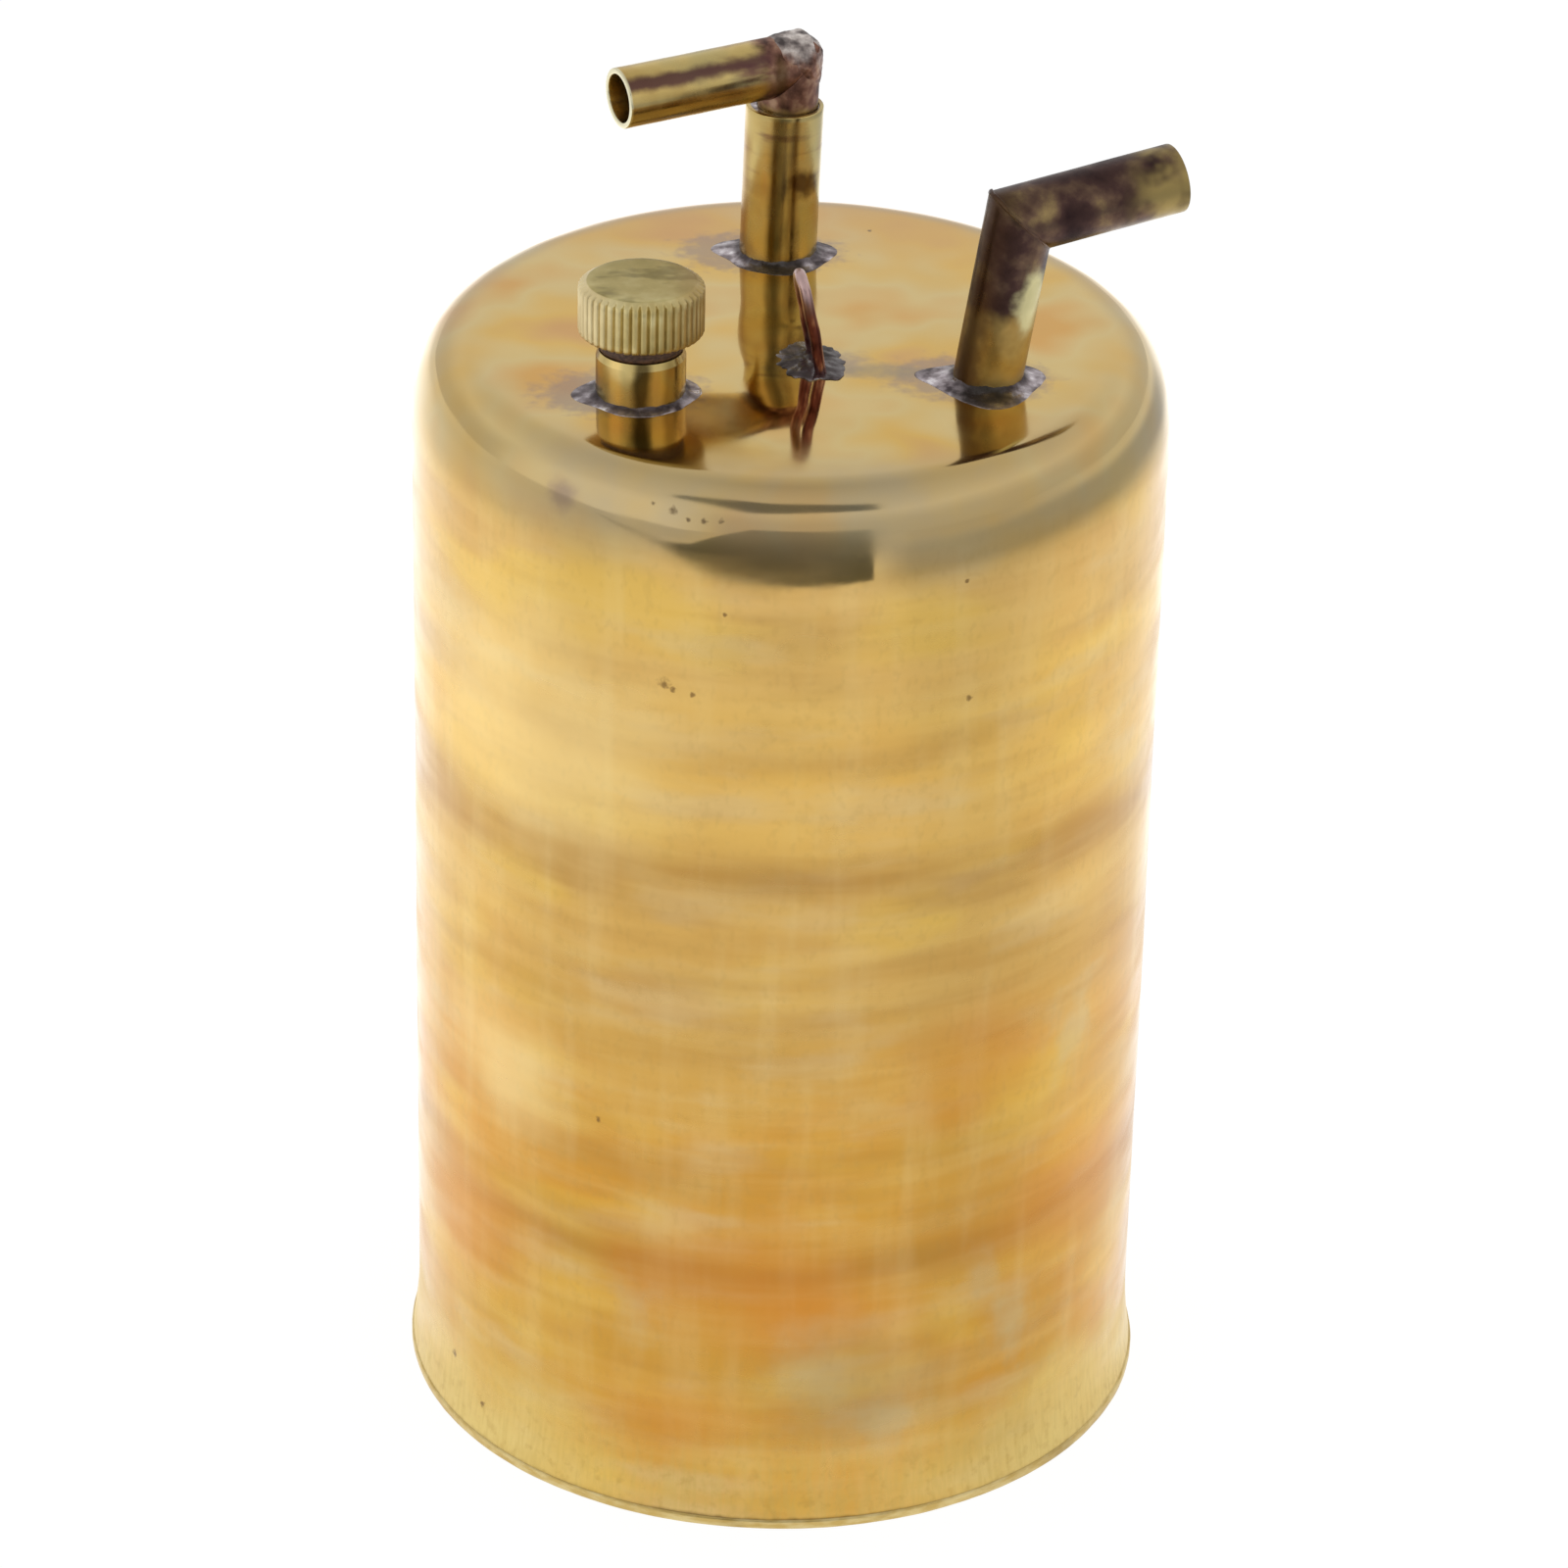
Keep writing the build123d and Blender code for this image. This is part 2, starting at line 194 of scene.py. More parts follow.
class Graph:
    """Shader nodes of one tree, with short calls for the usual ones."""

    MIX_FACTOR, MIX_A, MIX_B, MIX_RESULT = 0, 6, 7, 2

    def __init__(self, tree, coordinates="Object"):
        self.tree = tree
        self.place = self.node("TexCoord").outputs[coordinates]
        split = self.node("SeparateXYZ", {0: self.place})
        self.x, self.y, self.z = split.outputs

    def node(self, kind, inputs=None, **settings):
        made = self.tree.nodes.new("ShaderNode" + kind)
        for key, value in settings.items():
            setattr(made, key, value)
        for key, value in (inputs or {}).items():
            if isinstance(value, bpy.types.NodeSocket):
                self.tree.links.new(value, made.inputs[key])
            else:
                made.inputs[key].default_value = value
        return made

    def math(self, operation, *values):
        made = self.node("Math", dict(enumerate(values)), operation=operation)
        return made.outputs[0]

    def times(self, first, second):
        return self.math("MULTIPLY", first, second)

    def plus(self, first, second):
        return self.math("ADD", first, second)

    def minus(self, first, second):
        return self.math("SUBTRACT", first, second)

    def vector(self, operation, *values):
        made = self.node("VectorMath", dict(enumerate(values)), operation=operation)
        return made.outputs[0]

    def length(self, value):
        return self.node("VectorMath", {0: value}, operation="LENGTH").outputs["Value"]

    def noise(self, size, detail=2.0, stretch=(1, 1, 1), seed=0.0):
        """Noise from 0 to 1, its features about `size` mm across times stretch."""
        scale = [1 / (size * MM * s) for s in stretch]
        spot = self.vector("MULTIPLY_ADD", self.place, scale, (seed,) * 3)
        made = self.node("TexNoise", {"Vector": spot, "Scale": 1.0, "Detail": detail})
        return made.outputs[0]

    def fade(self, value, low, high, start=0.0, end=1.0):
        """Smooth step from start to end as value goes from low to high."""
        made = self.node(
            "MapRange",
            {"Value": value, 1: low, 2: high, 3: start, 4: end},
            interpolation_type="SMOOTHSTEP",
        )
        return made.outputs[0]

    def ramp(self, value, *stops):
        """Colour by value; each stop is (position, hex code)."""
        made = self.node("ValToRGB", {0: value})
        elements = made.color_ramp.elements
        while len(elements) < len(stops):
            elements.new(0.5)
        for element, (position, code) in zip(elements, stops):
            element.position = position
            element.color = tone(code)
        return made.outputs[0]

    def mix(self, factor, first, second, blend="MIX"):
        """Mix of two colours, each a socket or a hex code."""
        first, second = (tone(c) if isinstance(c, str) else c for c in (first, second))
        inputs = {self.MIX_FACTOR: factor, self.MIX_A: first, self.MIX_B: second}
        made = self.node("Mix", inputs, data_type="RGBA", blend_type=blend)
        return made.outputs[self.MIX_RESULT]

    def lay(self, mask, strength, below, above):
        """The colour above over the one below, as far as mask and strength say."""
        return self.mix(self.times(mask, strength), below, above)

    def spot(self, centre, core, edge, ragged=0.5, grain=2.0, stretch=(1, 1, 1)):
        """1 within `core` mm of a point, 0 beyond `edge`, with a ragged rim."""
        away = self.vector("SUBTRACT", self.place, centre * MM)
        length = self.length(self.vector("MULTIPLY", away, [1 / s for s in stretch]))
        uneven = self.minus(self.noise(grain, 3.0, seed=centre.x), 0.5)
        rough = self.times(uneven, 2 * ragged * edge * MM)
        return self.fade(self.plus(length, rough), core * MM, edge * MM, 1.0, 0.0)

    def streak(self, point, axis, half_width, ragged=0.4, grain=2.0):
        """1 on a straight line through a point, 0 beyond its half width in mm."""
        away = self.vector("SUBTRACT", self.place, point * MM)
        length = self.length(self.vector("CROSS_PRODUCT", away, axis))
        uneven = self.minus(self.noise(grain, 3.0, seed=point.z), 0.5)
        rough = self.times(uneven, 2 * ragged * half_width * MM)
        off = self.plus(length, rough)
        return self.fade(off, 0.2 * half_width * MM, half_width * MM, 1.0, 0.0)

    def along(self, point, axis):
        """Distance from a point along an axis, in metres."""
        away = self.vector("SUBTRACT", self.place, point * MM)
        product = self.node("VectorMath", {0: away, 1: axis}, operation="DOT_PRODUCT")
        return product.outputs["Value"]

    def from_axis(self):
        """Distance from the upright axis through the origin, in metres."""
        return self.length(self.vector("MULTIPLY", self.place, (1, 1, 0)))


class Finish(Graph):
    """A material with one principled shader."""

    def __init__(self, name, metallic=1.0, **sockets):
        self.material = bpy.data.materials.new(name)
        self.material.use_nodes = True
        super().__init__(self.material.node_tree)
        self.shader = self.tree.nodes["Principled BSDF"]
        self.shader.inputs["Metallic"].default_value = metallic
        for key, value in sockets.items():
            self.shader.inputs[key.replace("_", " ")].default_value = value

    def colour(self, socket):
        self.tree.links.new(socket, self.shader.inputs["Base Color"])

    def roughness(self, socket):
        self.tree.links.new(socket, self.shader.inputs["Roughness"])

    def bump(self, height, depth):
        """Bump of `depth` mm between height 0 and 1."""
        made = self.node("Bump", {"Height": height, "Distance": depth * MM, "Strength": 1.0})
        self.tree.links.new(made.outputs[0], self.shader.inputs["Normal"])


# ---------- finishes
def on_wall(azimuth, height):
    """A point of the tank's wall; azimuth in degrees from the front towards +X."""
    angle = radians(azimuth)
    return Vector((TANK_R * sin(angle), -TANK_R * cos(angle), height))


def wall_tint(g):
    """Golden wall, more orange low down, with straw and pale patches."""
    wander = g.times(g.minus(g.noise(28, 2.0), 0.5), 5 * MM)
    height = g.math("DIVIDE", g.plus(g.z, wander), LID * MM)
    wall = g.ramp(
        height,
        (0.02, "#cfa345"),
        (0.16, "#c5943f"),
        (0.36, "#cb9a43"),
        (0.56, "#cda75e"),
        (0.74, "#d9b05d"),
        (0.9, "#cda864"),
    )
    blotch = g.fade(g.noise(19, 3.0, (1, 1, 0.7), 3.1), 0.42, 0.66)
    low = g.fade(g.z, 80 * MM, 30 * MM, 0.12, 0.5)
    wall = g.lay(blotch, low, wall, "#c98a33")
    straw = g.fade(g.noise(24, 2.0, (1, 1, 0.45), 12.4), 0.48, 0.68)
    wall = g.lay(straw, 0.5, wall, "#dcb650")
    pale = g.fade(g.noise(13, 4.0, (1.6, 1.6, 0.5), 8.3), 0.5, 0.72)
    return g.lay(pale, 0.4, wall, "#cdb88c")


def drawing_ring_reflections(g):
    """Mask of the painted reflection of the rings that drawing left: darker bands, stronger here and
    fainter there.
    """
    sway = g.times(g.minus(g.noise(30, 1.0, seed=5.0), 0.5), 7 * MM)
    level = g.plus(g.z, sway)
    rings = 0.0
    for ring_height, half_width, darkness in RINGS:
        apart = g.math("ABSOLUTE", g.minus(level, ring_height * MM))
        band = g.fade(apart, 0.0, half_width * MM, darkness, 0.0)
        rings = g.plus(rings, band)
    patchy = g.fade(g.noise(22, 2.0, (1, 1, 0.25), 11.0), 0.3, 0.62, 0.3, 1.0)
    return g.times(rings, patchy)


def wall_stains(g, wall):
    """Stains and specks; each place is (azimuth, height, size)."""
    grey, pale, orange, dull = "#bfb187", "#efd698", "#c67a30", "#8f7d57"
    for code, strength, (core, ragged, grain), stretch, places in (
        (
            grey, 0.42, (0.0, 0.9, 4.0), (0.9, 0.9, 1.3),
            ((51, 54, 6), (40, 21, 5), (34, 28, 4), (5, 20, 6), (18, 13, 5), (-21, 26, 5)),
        ),
        (pale, 0.5, (0.5, 0.35, 9.0), (1.1, 1.1, 0.9), ((-42, 92, 23), (-46, 50, 13))),
        (
            orange, 0.4, (0.5, 0.35, 9.0), (1.3, 1.3, 0.8),
            ((53, 34, 18), (-55, 28, 15), (8, 27, 13), (32, 55, 12), (-9, 31, 15), (-16, 13, 11)),
        ),
        (dull, 0.45, (0.5, 0.35, 9.0), (1.2, 1.2, 0.9), ((12, 17, 13),)),
        (
            "#6f5230", 0.75, (0.1, 0.9, 0.5), (1, 1, 1),
            (
                (-18, 101.3, 0.8), (-16.5, 100.8, 0.45), (-13.5, 100.5, 0.4), (28, 99, 0.5),
                (27, 112.5, 0.35), (-28, 48, 0.5), (-9, 110, 0.3), (-61, 8, 0.7), (-52, 5, 0.5),
            ),
        ),
    ):
        for azimuth, height, size in places:
            stain = g.spot(on_wall(azimuth, height), core, size, ragged, grain, stretch)
            wall = g.lay(stain, strength, wall, code)
    return wall


def lid_tint(g):
    """Patches of straw, tan and greyish pink, with flux and pits, and a painted grey reflection round
    the shoulder, strongest at the front.
    """
    patch = g.noise(16, 2.0, seed=21.0)
    lid = g.ramp(patch, (0.28, "#c99b5c"), (0.42, "#d3ac58"), (0.55, "#d0b678"), (0.7, "#cf9f52"))
    rear = g.fade(g.y, 12 * MM, 34 * MM)
    lid = g.lay(rear, 0.6, lid, "#c69a62")
    # painted reflection: a mottled grey band round the shoulder, strongest at the front
    rim = g.times(g.fade(g.from_axis(), 29 * MM, 37 * MM), g.fade(g.z, 112 * MM, 118 * MM))
    cloudy = g.fade(g.noise(11, 3.0, seed=81.0), 0.35, 0.65, 0.5, 0.95)
    frontal = g.fade(g.y, -17 * MM, -33 * MM, 0.35, 1.0)
    lid = g.lay(rim, g.times(cloudy, frontal), lid, "#bba984")
    beside = Vector((-2, 0, 0))
    for centre, core, edge in (
        (NECK_FOOT + beside, 5.5, 9),
        (SLEEVE_FOOT + beside, 5.5, 9),
        (OUTLET_FOOT + beside, 5.0, 9),
        (Vector((2.3, -9.8, LID)), 2.5, 6.5),
    ):
        stain = g.spot(centre, core, edge, 0.35, 1.5, (1.15, 0.75, 1))
        lid = g.lay(stain, 0.6, lid, "#8b7a76")
    smudge = g.spot(Vector((-23.1, -31.8, 119.2)), 0.3, 2.6, 0.45, 2.2)
    lid = g.lay(smudge, 0.45, lid, "#7a6268")
    for x, y, z, size in (
        (-11.7, -37.1, 120.3, 0.6), (-10.1, -37.8, 119.7, 0.4), (-8.5, -38.2, 119.7, 0.45),
        (-6.8, -38.5, 119.9, 0.4), (-13.6, -36.0, 120.6, 0.35), (8, 25, LID, 0.4),
    ):
        pit = g.spot(Vector((x, y, z)), 0.1, size, 0.7, 0.4)
        lid = g.lay(pit, 0.8, lid, "#5e4a35")
    flux = g.spot(Vector((10, -11.4, LID)), 0.3, 3.0, 0.4, 2.5, (3.0, 0.9, 1))
    return g.lay(flux, 0.55, lid, "#877f6a")


def tank_brass():
    """Drawn brass, tinted by heat: rings and stains on the wall, a glossier lid. The rings' dark bands,
    the foot's paler sides and the grey front shoulder are painted reflections.
    """
    g = Finish("tank_brass")
    # painted reflection: the drawn rings' darker bands laid into the wall's colour
    wall = g.lay(drawing_ring_reflections(g), 0.55, wall_tint(g), "#9a6c34")

    # fine streaks round the wall, and brushed marks up it near the base
    streak = g.noise(4.5, 3.0, (6, 6, 0.6), 2.0)
    brush = g.noise(0.9, 4.0, (0.6, 0.6, 6), 6.0)
    wall = g.mix(g.fade(streak, 0.35, 0.75, 0.0, 0.22), wall, "#e2c27c")
    shade = g.fade(g.noise(7, 4.0, (3.5, 3.5, 0.5), 31.0), 0.45, 0.72)
    wall = g.lay(shade, 0.22, wall, "#a87d3c")
    upright = g.fade(g.noise(4.0, 3.0, (1, 1, 7), 41.0), 0.45, 0.75)
    wall = g.lay(upright, 0.12, wall, "#ead9a4")
    grain = g.noise(0.9, 3.0, (1, 1, 1.5), 23.0)
    wall = g.mix(g.times(g.fade(grain, 0.5, 0.7), 0.14), wall, "#a98a4c")

    # the foot is rubbed, and painted paler, most of all at its sides: a painted reflection of the bright
    # floor
    uneven = g.times(g.noise(7, 3.0, seed=51.0), 12 * MM)
    foot = g.fade(g.plus(g.z, uneven), 23 * MM, 7 * MM)
    painted_floor_reflection = g.fade(g.math("ABSOLUTE", g.x), 10 * MM, 34 * MM, 0.12, 0.75)
    wall = g.lay(foot, painted_floor_reflection, wall, "#e0cb84")
    rubbed = g.times(g.fade(brush, 0.42, 0.62), g.times(foot, 0.3))
    wall = g.mix(rubbed, wall, "#c3a75c")
    pits = g.fade(g.noise(1.2, 4.0, seed=61.0), 0.5, 0.75)
    wall = g.lay(pits, g.times(foot, 0.3), wall, "#a8863f")
    wall = wall_stains(g, wall)

    # dark line where the wall meets the base
    ragged = g.times(g.noise(3, 3.0), 0.8 * MM)
    seam = g.fade(g.plus(g.z, ragged), 1.3 * MM, 2.0 * MM, 1.0, 0.0)
    middle = g.fade(g.math("ABSOLUTE", g.x), 11 * MM, 17 * MM, 0.95, 0.3)
    wall = g.lay(seam, middle, wall, "#4a3616")

    top = g.fade(g.z, 112 * MM, 120 * MM)
    g.colour(g.mix(top, wall, lid_tint(g)))
    satin = g.fade(g.noise(6, 4.0, (2, 2, 0.7), 15.0), 0.3, 0.75, 0.16, 0.3)
    rough_foot = g.times(foot, 0.16)
    smooth_lid = g.times(g.fade(g.z, 105 * MM, 115 * MM), 0.11)
    g.roughness(g.minus(g.plus(satin, rough_foot), smooth_lid))
    fine = g.times(grain, g.fade(g.z, 118 * MM, 108 * MM, 0.0, 0.25))
    dents = g.times(g.noise(12, 1.0, seed=71.0), g.fade(g.z, 116 * MM, 123 * MM, 0.0, 20.0))
    relief = g.plus(fine, g.times(brush, foot))
    g.bump(g.plus(relief, dents), 0.012)
    return g.material


def base_brass():
    g = Finish("base_brass")
    scratch = g.noise(2.4, 4.0, (1, 1, 0.3), 1.0)
    worn = g.fade(scratch, 0.35, 0.7)
    colour = g.mix(worn, "#c4a763", "#dcc78d")
    dirt = g.fade(g.noise(7, 3.0, seed=4.0), 0.55, 0.75)
    g.colour(g.lay(dirt, 0.5, colour, "#8a6c38"))
    g.roughness(g.fade(scratch, 0.2, 0.8, 0.3, 0.5))
    g.bump(scratch, 0.02)
    return g.material


def tube_brass():
    """Golden tube, streaked purple and brown by the torch, with painted reflections: upright dark and
    brown stripes on the sleeve and the neck, and a painted highlight on the neck.
    """
    g = Finish("tube_brass")
    patch = g.noise(9, 3.0, seed=2.0)
    gold = ((0.3, "#bb9c5a"), (0.48, "#cbb271"), (0.62, "#bbaa72"), (0.75, "#ac8f58"))
    colour = g.ramp(patch, *gold)
    streak = g.fade(g.noise(2.2, 4.0, (5, 5, 0.9), 7.0), 0.52, 0.66)
    elbow = g.spot(INLET_ELBOW, 3.0, 17.0, 0.3, 3.0)
    colour = g.lay(streak, g.times(elbow, 0.85), colour, "#6b3f42")
    scale = g.spot(INLET_ELBOW, 4.7, 6.2, 0.12, 1.5)
    scaly = g.noise(1.6, 4.0, seed=3.0)
    crust = g.ramp(scaly, (0.34, "#523830"), (0.52, "#866152"), (0.7, "#b39279"))
    colour = g.mix(scale, colour, crust)
    far_out = g.along(INLET_ELBOW, INLET_RUN)
    high_up = g.fade(g.z, (INLET_ELBOW.z - 9) * MM, (INLET_ELBOW.z - 6) * MM)
    on_side_tube = g.times(g.fade(far_out, 2.5 * MM, 4.5 * MM), high_up)
    for tilt, half_width, code, strength in ((42, 1.3, "#54333a", 0.9), (-14, 1.5, "#93703c", 0.5)):
        edge = INLET_ELBOW + heading(297, tilt) * INLET_R
        band = g.streak(edge, INLET_RUN, half_width, 0.5, 2.5)
        colour = g.lay(g.times(band, on_side_tube), strength, colour, code)
    # painted reflections on the sleeve and the neck: upright dark and brown stripes, and one pale
    # painted highlight on the neck
    for foot, azimuth, radius, half_width, code, strength in (
        (SLEEVE_FOOT, 262, SLEEVE_R, 1.3, "#54431f", 0.6),
        (SLEEVE_FOOT, 287, SLEEVE_R, 0.8, "#6a4f22", 0.5),
        (SLEEVE_FOOT, 200, SLEEVE_R, 1.6, "#8a5f26", 0.5),
        (NECK_FOOT, 272, NECK_R, 1.35, "#3f3118", 0.85),
        (NECK_FOOT, 312, NECK_R, 1.3, "#6b5426", 0.6),
        (NECK_FOOT, 192, NECK_R, 1.0, "#6b4a20", 0.7),
        (NECK_FOOT, 236, NECK_R, 1.2, "#f0d086", 0.6),
    ):
        band = g.streak(foot + heading(azimuth, 0) * radius, INLET_UP, half_width, 0.35, 3.0)
        upright_part = g.minus(1.0, on_side_tube)
        colour = g.lay(g.times(band, upright_part), strength, colour, code)
    mouth = g.fade(far_out, (INLET_LENGTH - 0.3) * MM, (INLET_LENGTH - 0.1) * MM)
    colour = g.lay(mouth, high_up, colour, "#ddd5b2")
    smudge_centre = SLEEVE_FOOT + Vector((2.6, -3.2, 9.4))
    smudge = g.spot(smudge_centre, 0.8, 2.9, 0.5, 1.4, (1, 1, 0.8))
    colour = g.lay(smudge, 0.85, colour, "#43281c")
    g.colour(colour)
    gloss = g.fade(g.noise(3, 4.0, seed=9.0), 0.3, 0.75, 0.17, 0.32)
    g.roughness(g.plus(gloss, g.times(scale, 0.25)))
    g.bump(g.noise(1.5, 3.0, (1, 1, 4), 3.0), 0.01)
    return g.material


def oxidised_brass():
    """Heat-blackened tube with bare patches."""
    g = Finish("oxidised_brass")
    cloud = g.noise(4.2, 4.0, seed=13.0)
    soot = g.ramp(cloud, (0.3, "#2f2223"), (0.5, "#4b3733"), (0.62, "#6a5444"), (0.76, "#9a8458"))
    gold = g.ramp(g.noise(5, 3.0, seed=2.0), (0.35, "#a5834a"), (0.6, "#cdb069"))
    uneven = g.minus(g.noise(5, 3.0, seed=4.0), 0.5)
    level = g.plus(g.z, g.times(uneven, 10 * MM))
    bare = g.fade(level, (LID + 9.5) * MM, (LID + 6) * MM)
    colour = g.mix(bare, soot, gold)
    shaded = g.streak(OUTLET_FOOT + heading(222, 0) * OUTLET_R, OUTLET_UP, 3.7, 0.3, 2.0)
    colour = g.lay(shaded, 0.8, colour, "#3f2b20")
    shine = g.spot(OUTLET_FOOT + Vector((4.6, -2.6, 9.5)), 1.4, 2.9, 0.35, 2.0, (1, 1, 1.7))
    colour = g.lay(shine, 0.9, colour, "#d9d09c")
    tip = g.fade(g.x, 33 * MM, 37 * MM)
    worn = g.times(g.fade(g.noise(3.6, 2.0, seed=17.0), 0.3, 0.6), tip)
    colour = g.lay(worn, 0.85, colour, "#a59059")
    g.colour(colour)
    g.roughness(g.fade(cloud, 0.3, 0.7, 0.5, 0.26))
    g.bump(cloud, 0.06)
    return g.material


def cap_brass():
    g = Finish("cap_brass")
    patch = g.noise(3.5, 4.0, seed=6.0)
    colour = g.ramp(patch, (0.32, "#b3a26b"), (0.5, "#c6b379"), (0.66, "#d6c791"))
    face = g.fade(g.z, (HEAD_TOP - 0.12) * MM, (HEAD_TOP - 0.02) * MM)
    smear = g.fade(g.noise(2.2, 4.0, (2.2, 1, 1), 3.3), 0.5, 0.68)
    colour = g.lay(face, 0.35, colour, "#a59a60")
    colour = g.lay(smear, g.times(face, 0.55), colour, "#6f6438")
    # painted light and shade: the cap is painted browner on its right and paler on the left of its
    # knurled side
    painted_shade_right = g.fade(g.x, (NECK_AT.x + 2) * MM, (NECK_AT.x + 6) * MM)
    colour = g.lay(painted_shade_right, 0.5, colour, "#a07e4a")
    painted_light_left = g.fade(g.x, (NECK_AT.x - 1) * MM, (NECK_AT.x - 6) * MM)
    below = g.minus(1.0, face)
    colour = g.lay(g.times(painted_light_left, below), 0.55, colour, "#efdcb0")
    g.colour(colour)
    g.roughness(g.fade(patch, 0.3, 0.7, 0.46, 0.34))
    g.bump(g.noise(0.5, 3.0, seed=1.0), 0.02)
    return g.material


def solder():
    """Silver solder with purple and black flux, and painted shade in front of the sleeve and the outlet.
    """
    g = Finish("solder", metallic=0.9)
    cloud = g.noise(1.7, 4.0, seed=5.0)
    colour = g.ramp(cloud, (0.32, "#4a4043"), (0.48, "#8f8487"), (0.6, "#bdb3b7"), (0.72, "#f1ecee"))
    dark = g.fade(g.noise(4.5, 2.0, seed=9.0), 0.45, 0.62)
    colour = g.lay(dark, 0.4, colour, "#40383a")
    for foot, radius in ((NECK_FOOT, NECK_R), (SLEEVE_FOOT, SLEEVE_R), (OUTLET_FOOT, OUTLET_R)):
        close = g.spot(foot, radius + 0.2, radius + 0.9, 0.05, 1.0)
        colour = g.lay(close, 0.7, colour, "#3a3232")
    # painted shade on the solder in front of the sleeve and the outlet
    for foot, radius in ((SLEEVE_FOOT, SLEEVE_R), (OUTLET_FOOT, OUTLET_R)):
        in_front = foot + Vector((0, -radius - 1.0, 0))
        painted_front_shade = g.spot(in_front, 0.8, 3.0, 0.25, 1.0, (1.7, 1, 1))
        colour = g.lay(painted_front_shade, 0.8, colour, "#35322b")
    under_eye = g.spot((EYE_BACK + EYE_FRONT) / 2, 2.8, 6.0, 0.3, 1.5)
    colour = g.lay(under_eye, 0.85, colour, "#38322f")
    g.colour(colour)
    g.roughness(g.fade(cloud, 0.3, 0.7, 0.5, 0.22))
    g.bump(g.noise(0.8, 3.0, seed=2.0), 0.08)
    return g.material


def elbow_solder():
    """Brown-purple scale on the elbows, silver at the outer corner."""
    g = Finish("elbow_solder", metallic=0.85)
    cloud = g.noise(1.5, 4.0, seed=3.0)
    colour = g.ramp(cloud, (0.32, "#523830"), (0.5, "#866152"), (0.68, "#b39279"))
    top = g.spot(INLET_ELBOW + Vector((0.6, 0.2, 3.4)), 2.6, 4.4, 0.35, 1.5)
    grey = g.ramp(cloud, (0.35, "#544c4b"), (0.5, "#988d88"), (0.66, "#dcd2cb"))
    g.colour(g.mix(top, colour, grey))
    g.roughness(g.fade(cloud, 0.3, 0.7, 0.55, 0.3))
    g.bump(g.noise(0.7, 4.0, seed=8.0), 0.15)
    return g.material


def washer_leather():
    g = Finish("washer", metallic=0.0)
    grain = g.noise(0.5, 4.0, (1, 1, 0.4), 1.0)
    g.colour(g.ramp(grain, (0.3, "#2c190f"), (0.6, "#583a24"), (0.75, "#704d34")))
    g.roughness(g.fade(grain, 0.3, 0.7, 0.65, 0.4))
    g.bump(grain, 0.08)
    return g.material


def oxidised_copper():
    g = Finish("wire")
    cloud = g.noise(1.4, 3.0, (1, 1, 2.5), 4.0)
    colour = g.ramp(cloud, (0.34, "#4a2626"), (0.5, "#7d4c4d"), (0.66, "#b88e8c"))
    high = g.fade(g.z, (LID + 6) * MM, (LID + 11) * MM)
    g.colour(g.lay(high, 0.75, colour, "#cdb2ad"))
    g.roughness(g.fade(cloud, 0.3, 0.7, 0.45, 0.25))
    g.bump(cloud, 0.05)
    return g.material


finishes = {
    "tank_brass": tank_brass(),
    "base_brass": base_brass(),
    "tube_brass": tube_brass(),
    "oxidised_brass": oxidised_brass(),
    "cap_brass": cap_brass(),
    "solder": solder(),
    "washer": washer_leather(),
    "wire": oxidised_copper(),
}
elbow_finish = elbow_solder()


# ---------- meshes
def lumps(point, size, seed=0.0):
    """Smooth noise from about -1 to 1, its lumps about `size` mm across."""
    return noise.noise(Vector(point) / size + Vector((seed, seed, seed)))


def full_turn(columns):
    """The angles of columns spaced evenly round a full turn."""
    return [TURN * j / columns for j in range(columns)]


def polar(far, angle, high=0.0):
    """A point by its distance from the upright axis, angle and height."""
    return Vector((far * cos(angle), far * sin(angle), high))


def sides(axis):
    """Two unit vectors across an axis, at right angles to each other."""
    side = axis.orthogonal().normalized()
    return side, axis.cross(side)


def new_object(name, points, faces):
    mesh = bpy.data.meshes.new(name)
    mesh.from_pydata([Vector(p) * MM for p in points], [], faces)
    shape = bmesh.new()
    shape.from_mesh(mesh)
    bmesh.ops.recalc_face_normals(shape, faces=shape.faces)
    shape.to_mesh(mesh)
    shape.free()
    return add_object(name, mesh)


def combine(piece, tool, operation):
    """Boolean of two closed meshes; the tool is used up."""
    step = piece.modifiers.new("combine", "BOOLEAN")
    step.operation = operation
    step.object = tool
    step.solver = "EXACT"
    view = bpy.context.evaluated_depsgraph_get()
    mesh = bpy.data.meshes.new_from_object(piece.evaluated_get(view))
    piece.modifiers.clear()
    piece.data = mesh
    bpy.data.objects.remove(tool)


def settle(piece, slot, body, nodes, finish=None, crease=38):
    """Shading, material (the given finish or the slot's), body, and hiding the CAD nodes a piece stands
    for.
    """
    piece.data.materials.clear()
    piece.data.materials.append(finish or finishes[slot])
    piece.data.shade_smooth()
    piece.data.set_sharp_from_angle(angle=radians(crease))
    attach(piece, body)
    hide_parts(*nodes)


def grid_faces(rows, columns, wrap, first=0):
    """Quads between rows of points; columns wrap round, and rows if wrap."""
    faces = []
    for i in range(rows if wrap else rows - 1):
        low, high = first + i * columns, first + (i + 1) % rows * columns
        for j in range(columns):
            k = (j + 1) % columns
            faces.append((low + j, low + k, high + k, high + j))
    return faces


def ball_faces(rows, columns):
    """Faces of rows between two poles; the poles are the first and last points."""
    last = rows * columns + 1
    faces = grid_faces(rows, columns, False, 1)
    for j in range(columns):
        k = (j + 1) % columns
        faces.append((0, 1 + k, 1 + j))
        faces.append((last, last - columns + j, last - columns + k))
    return faces


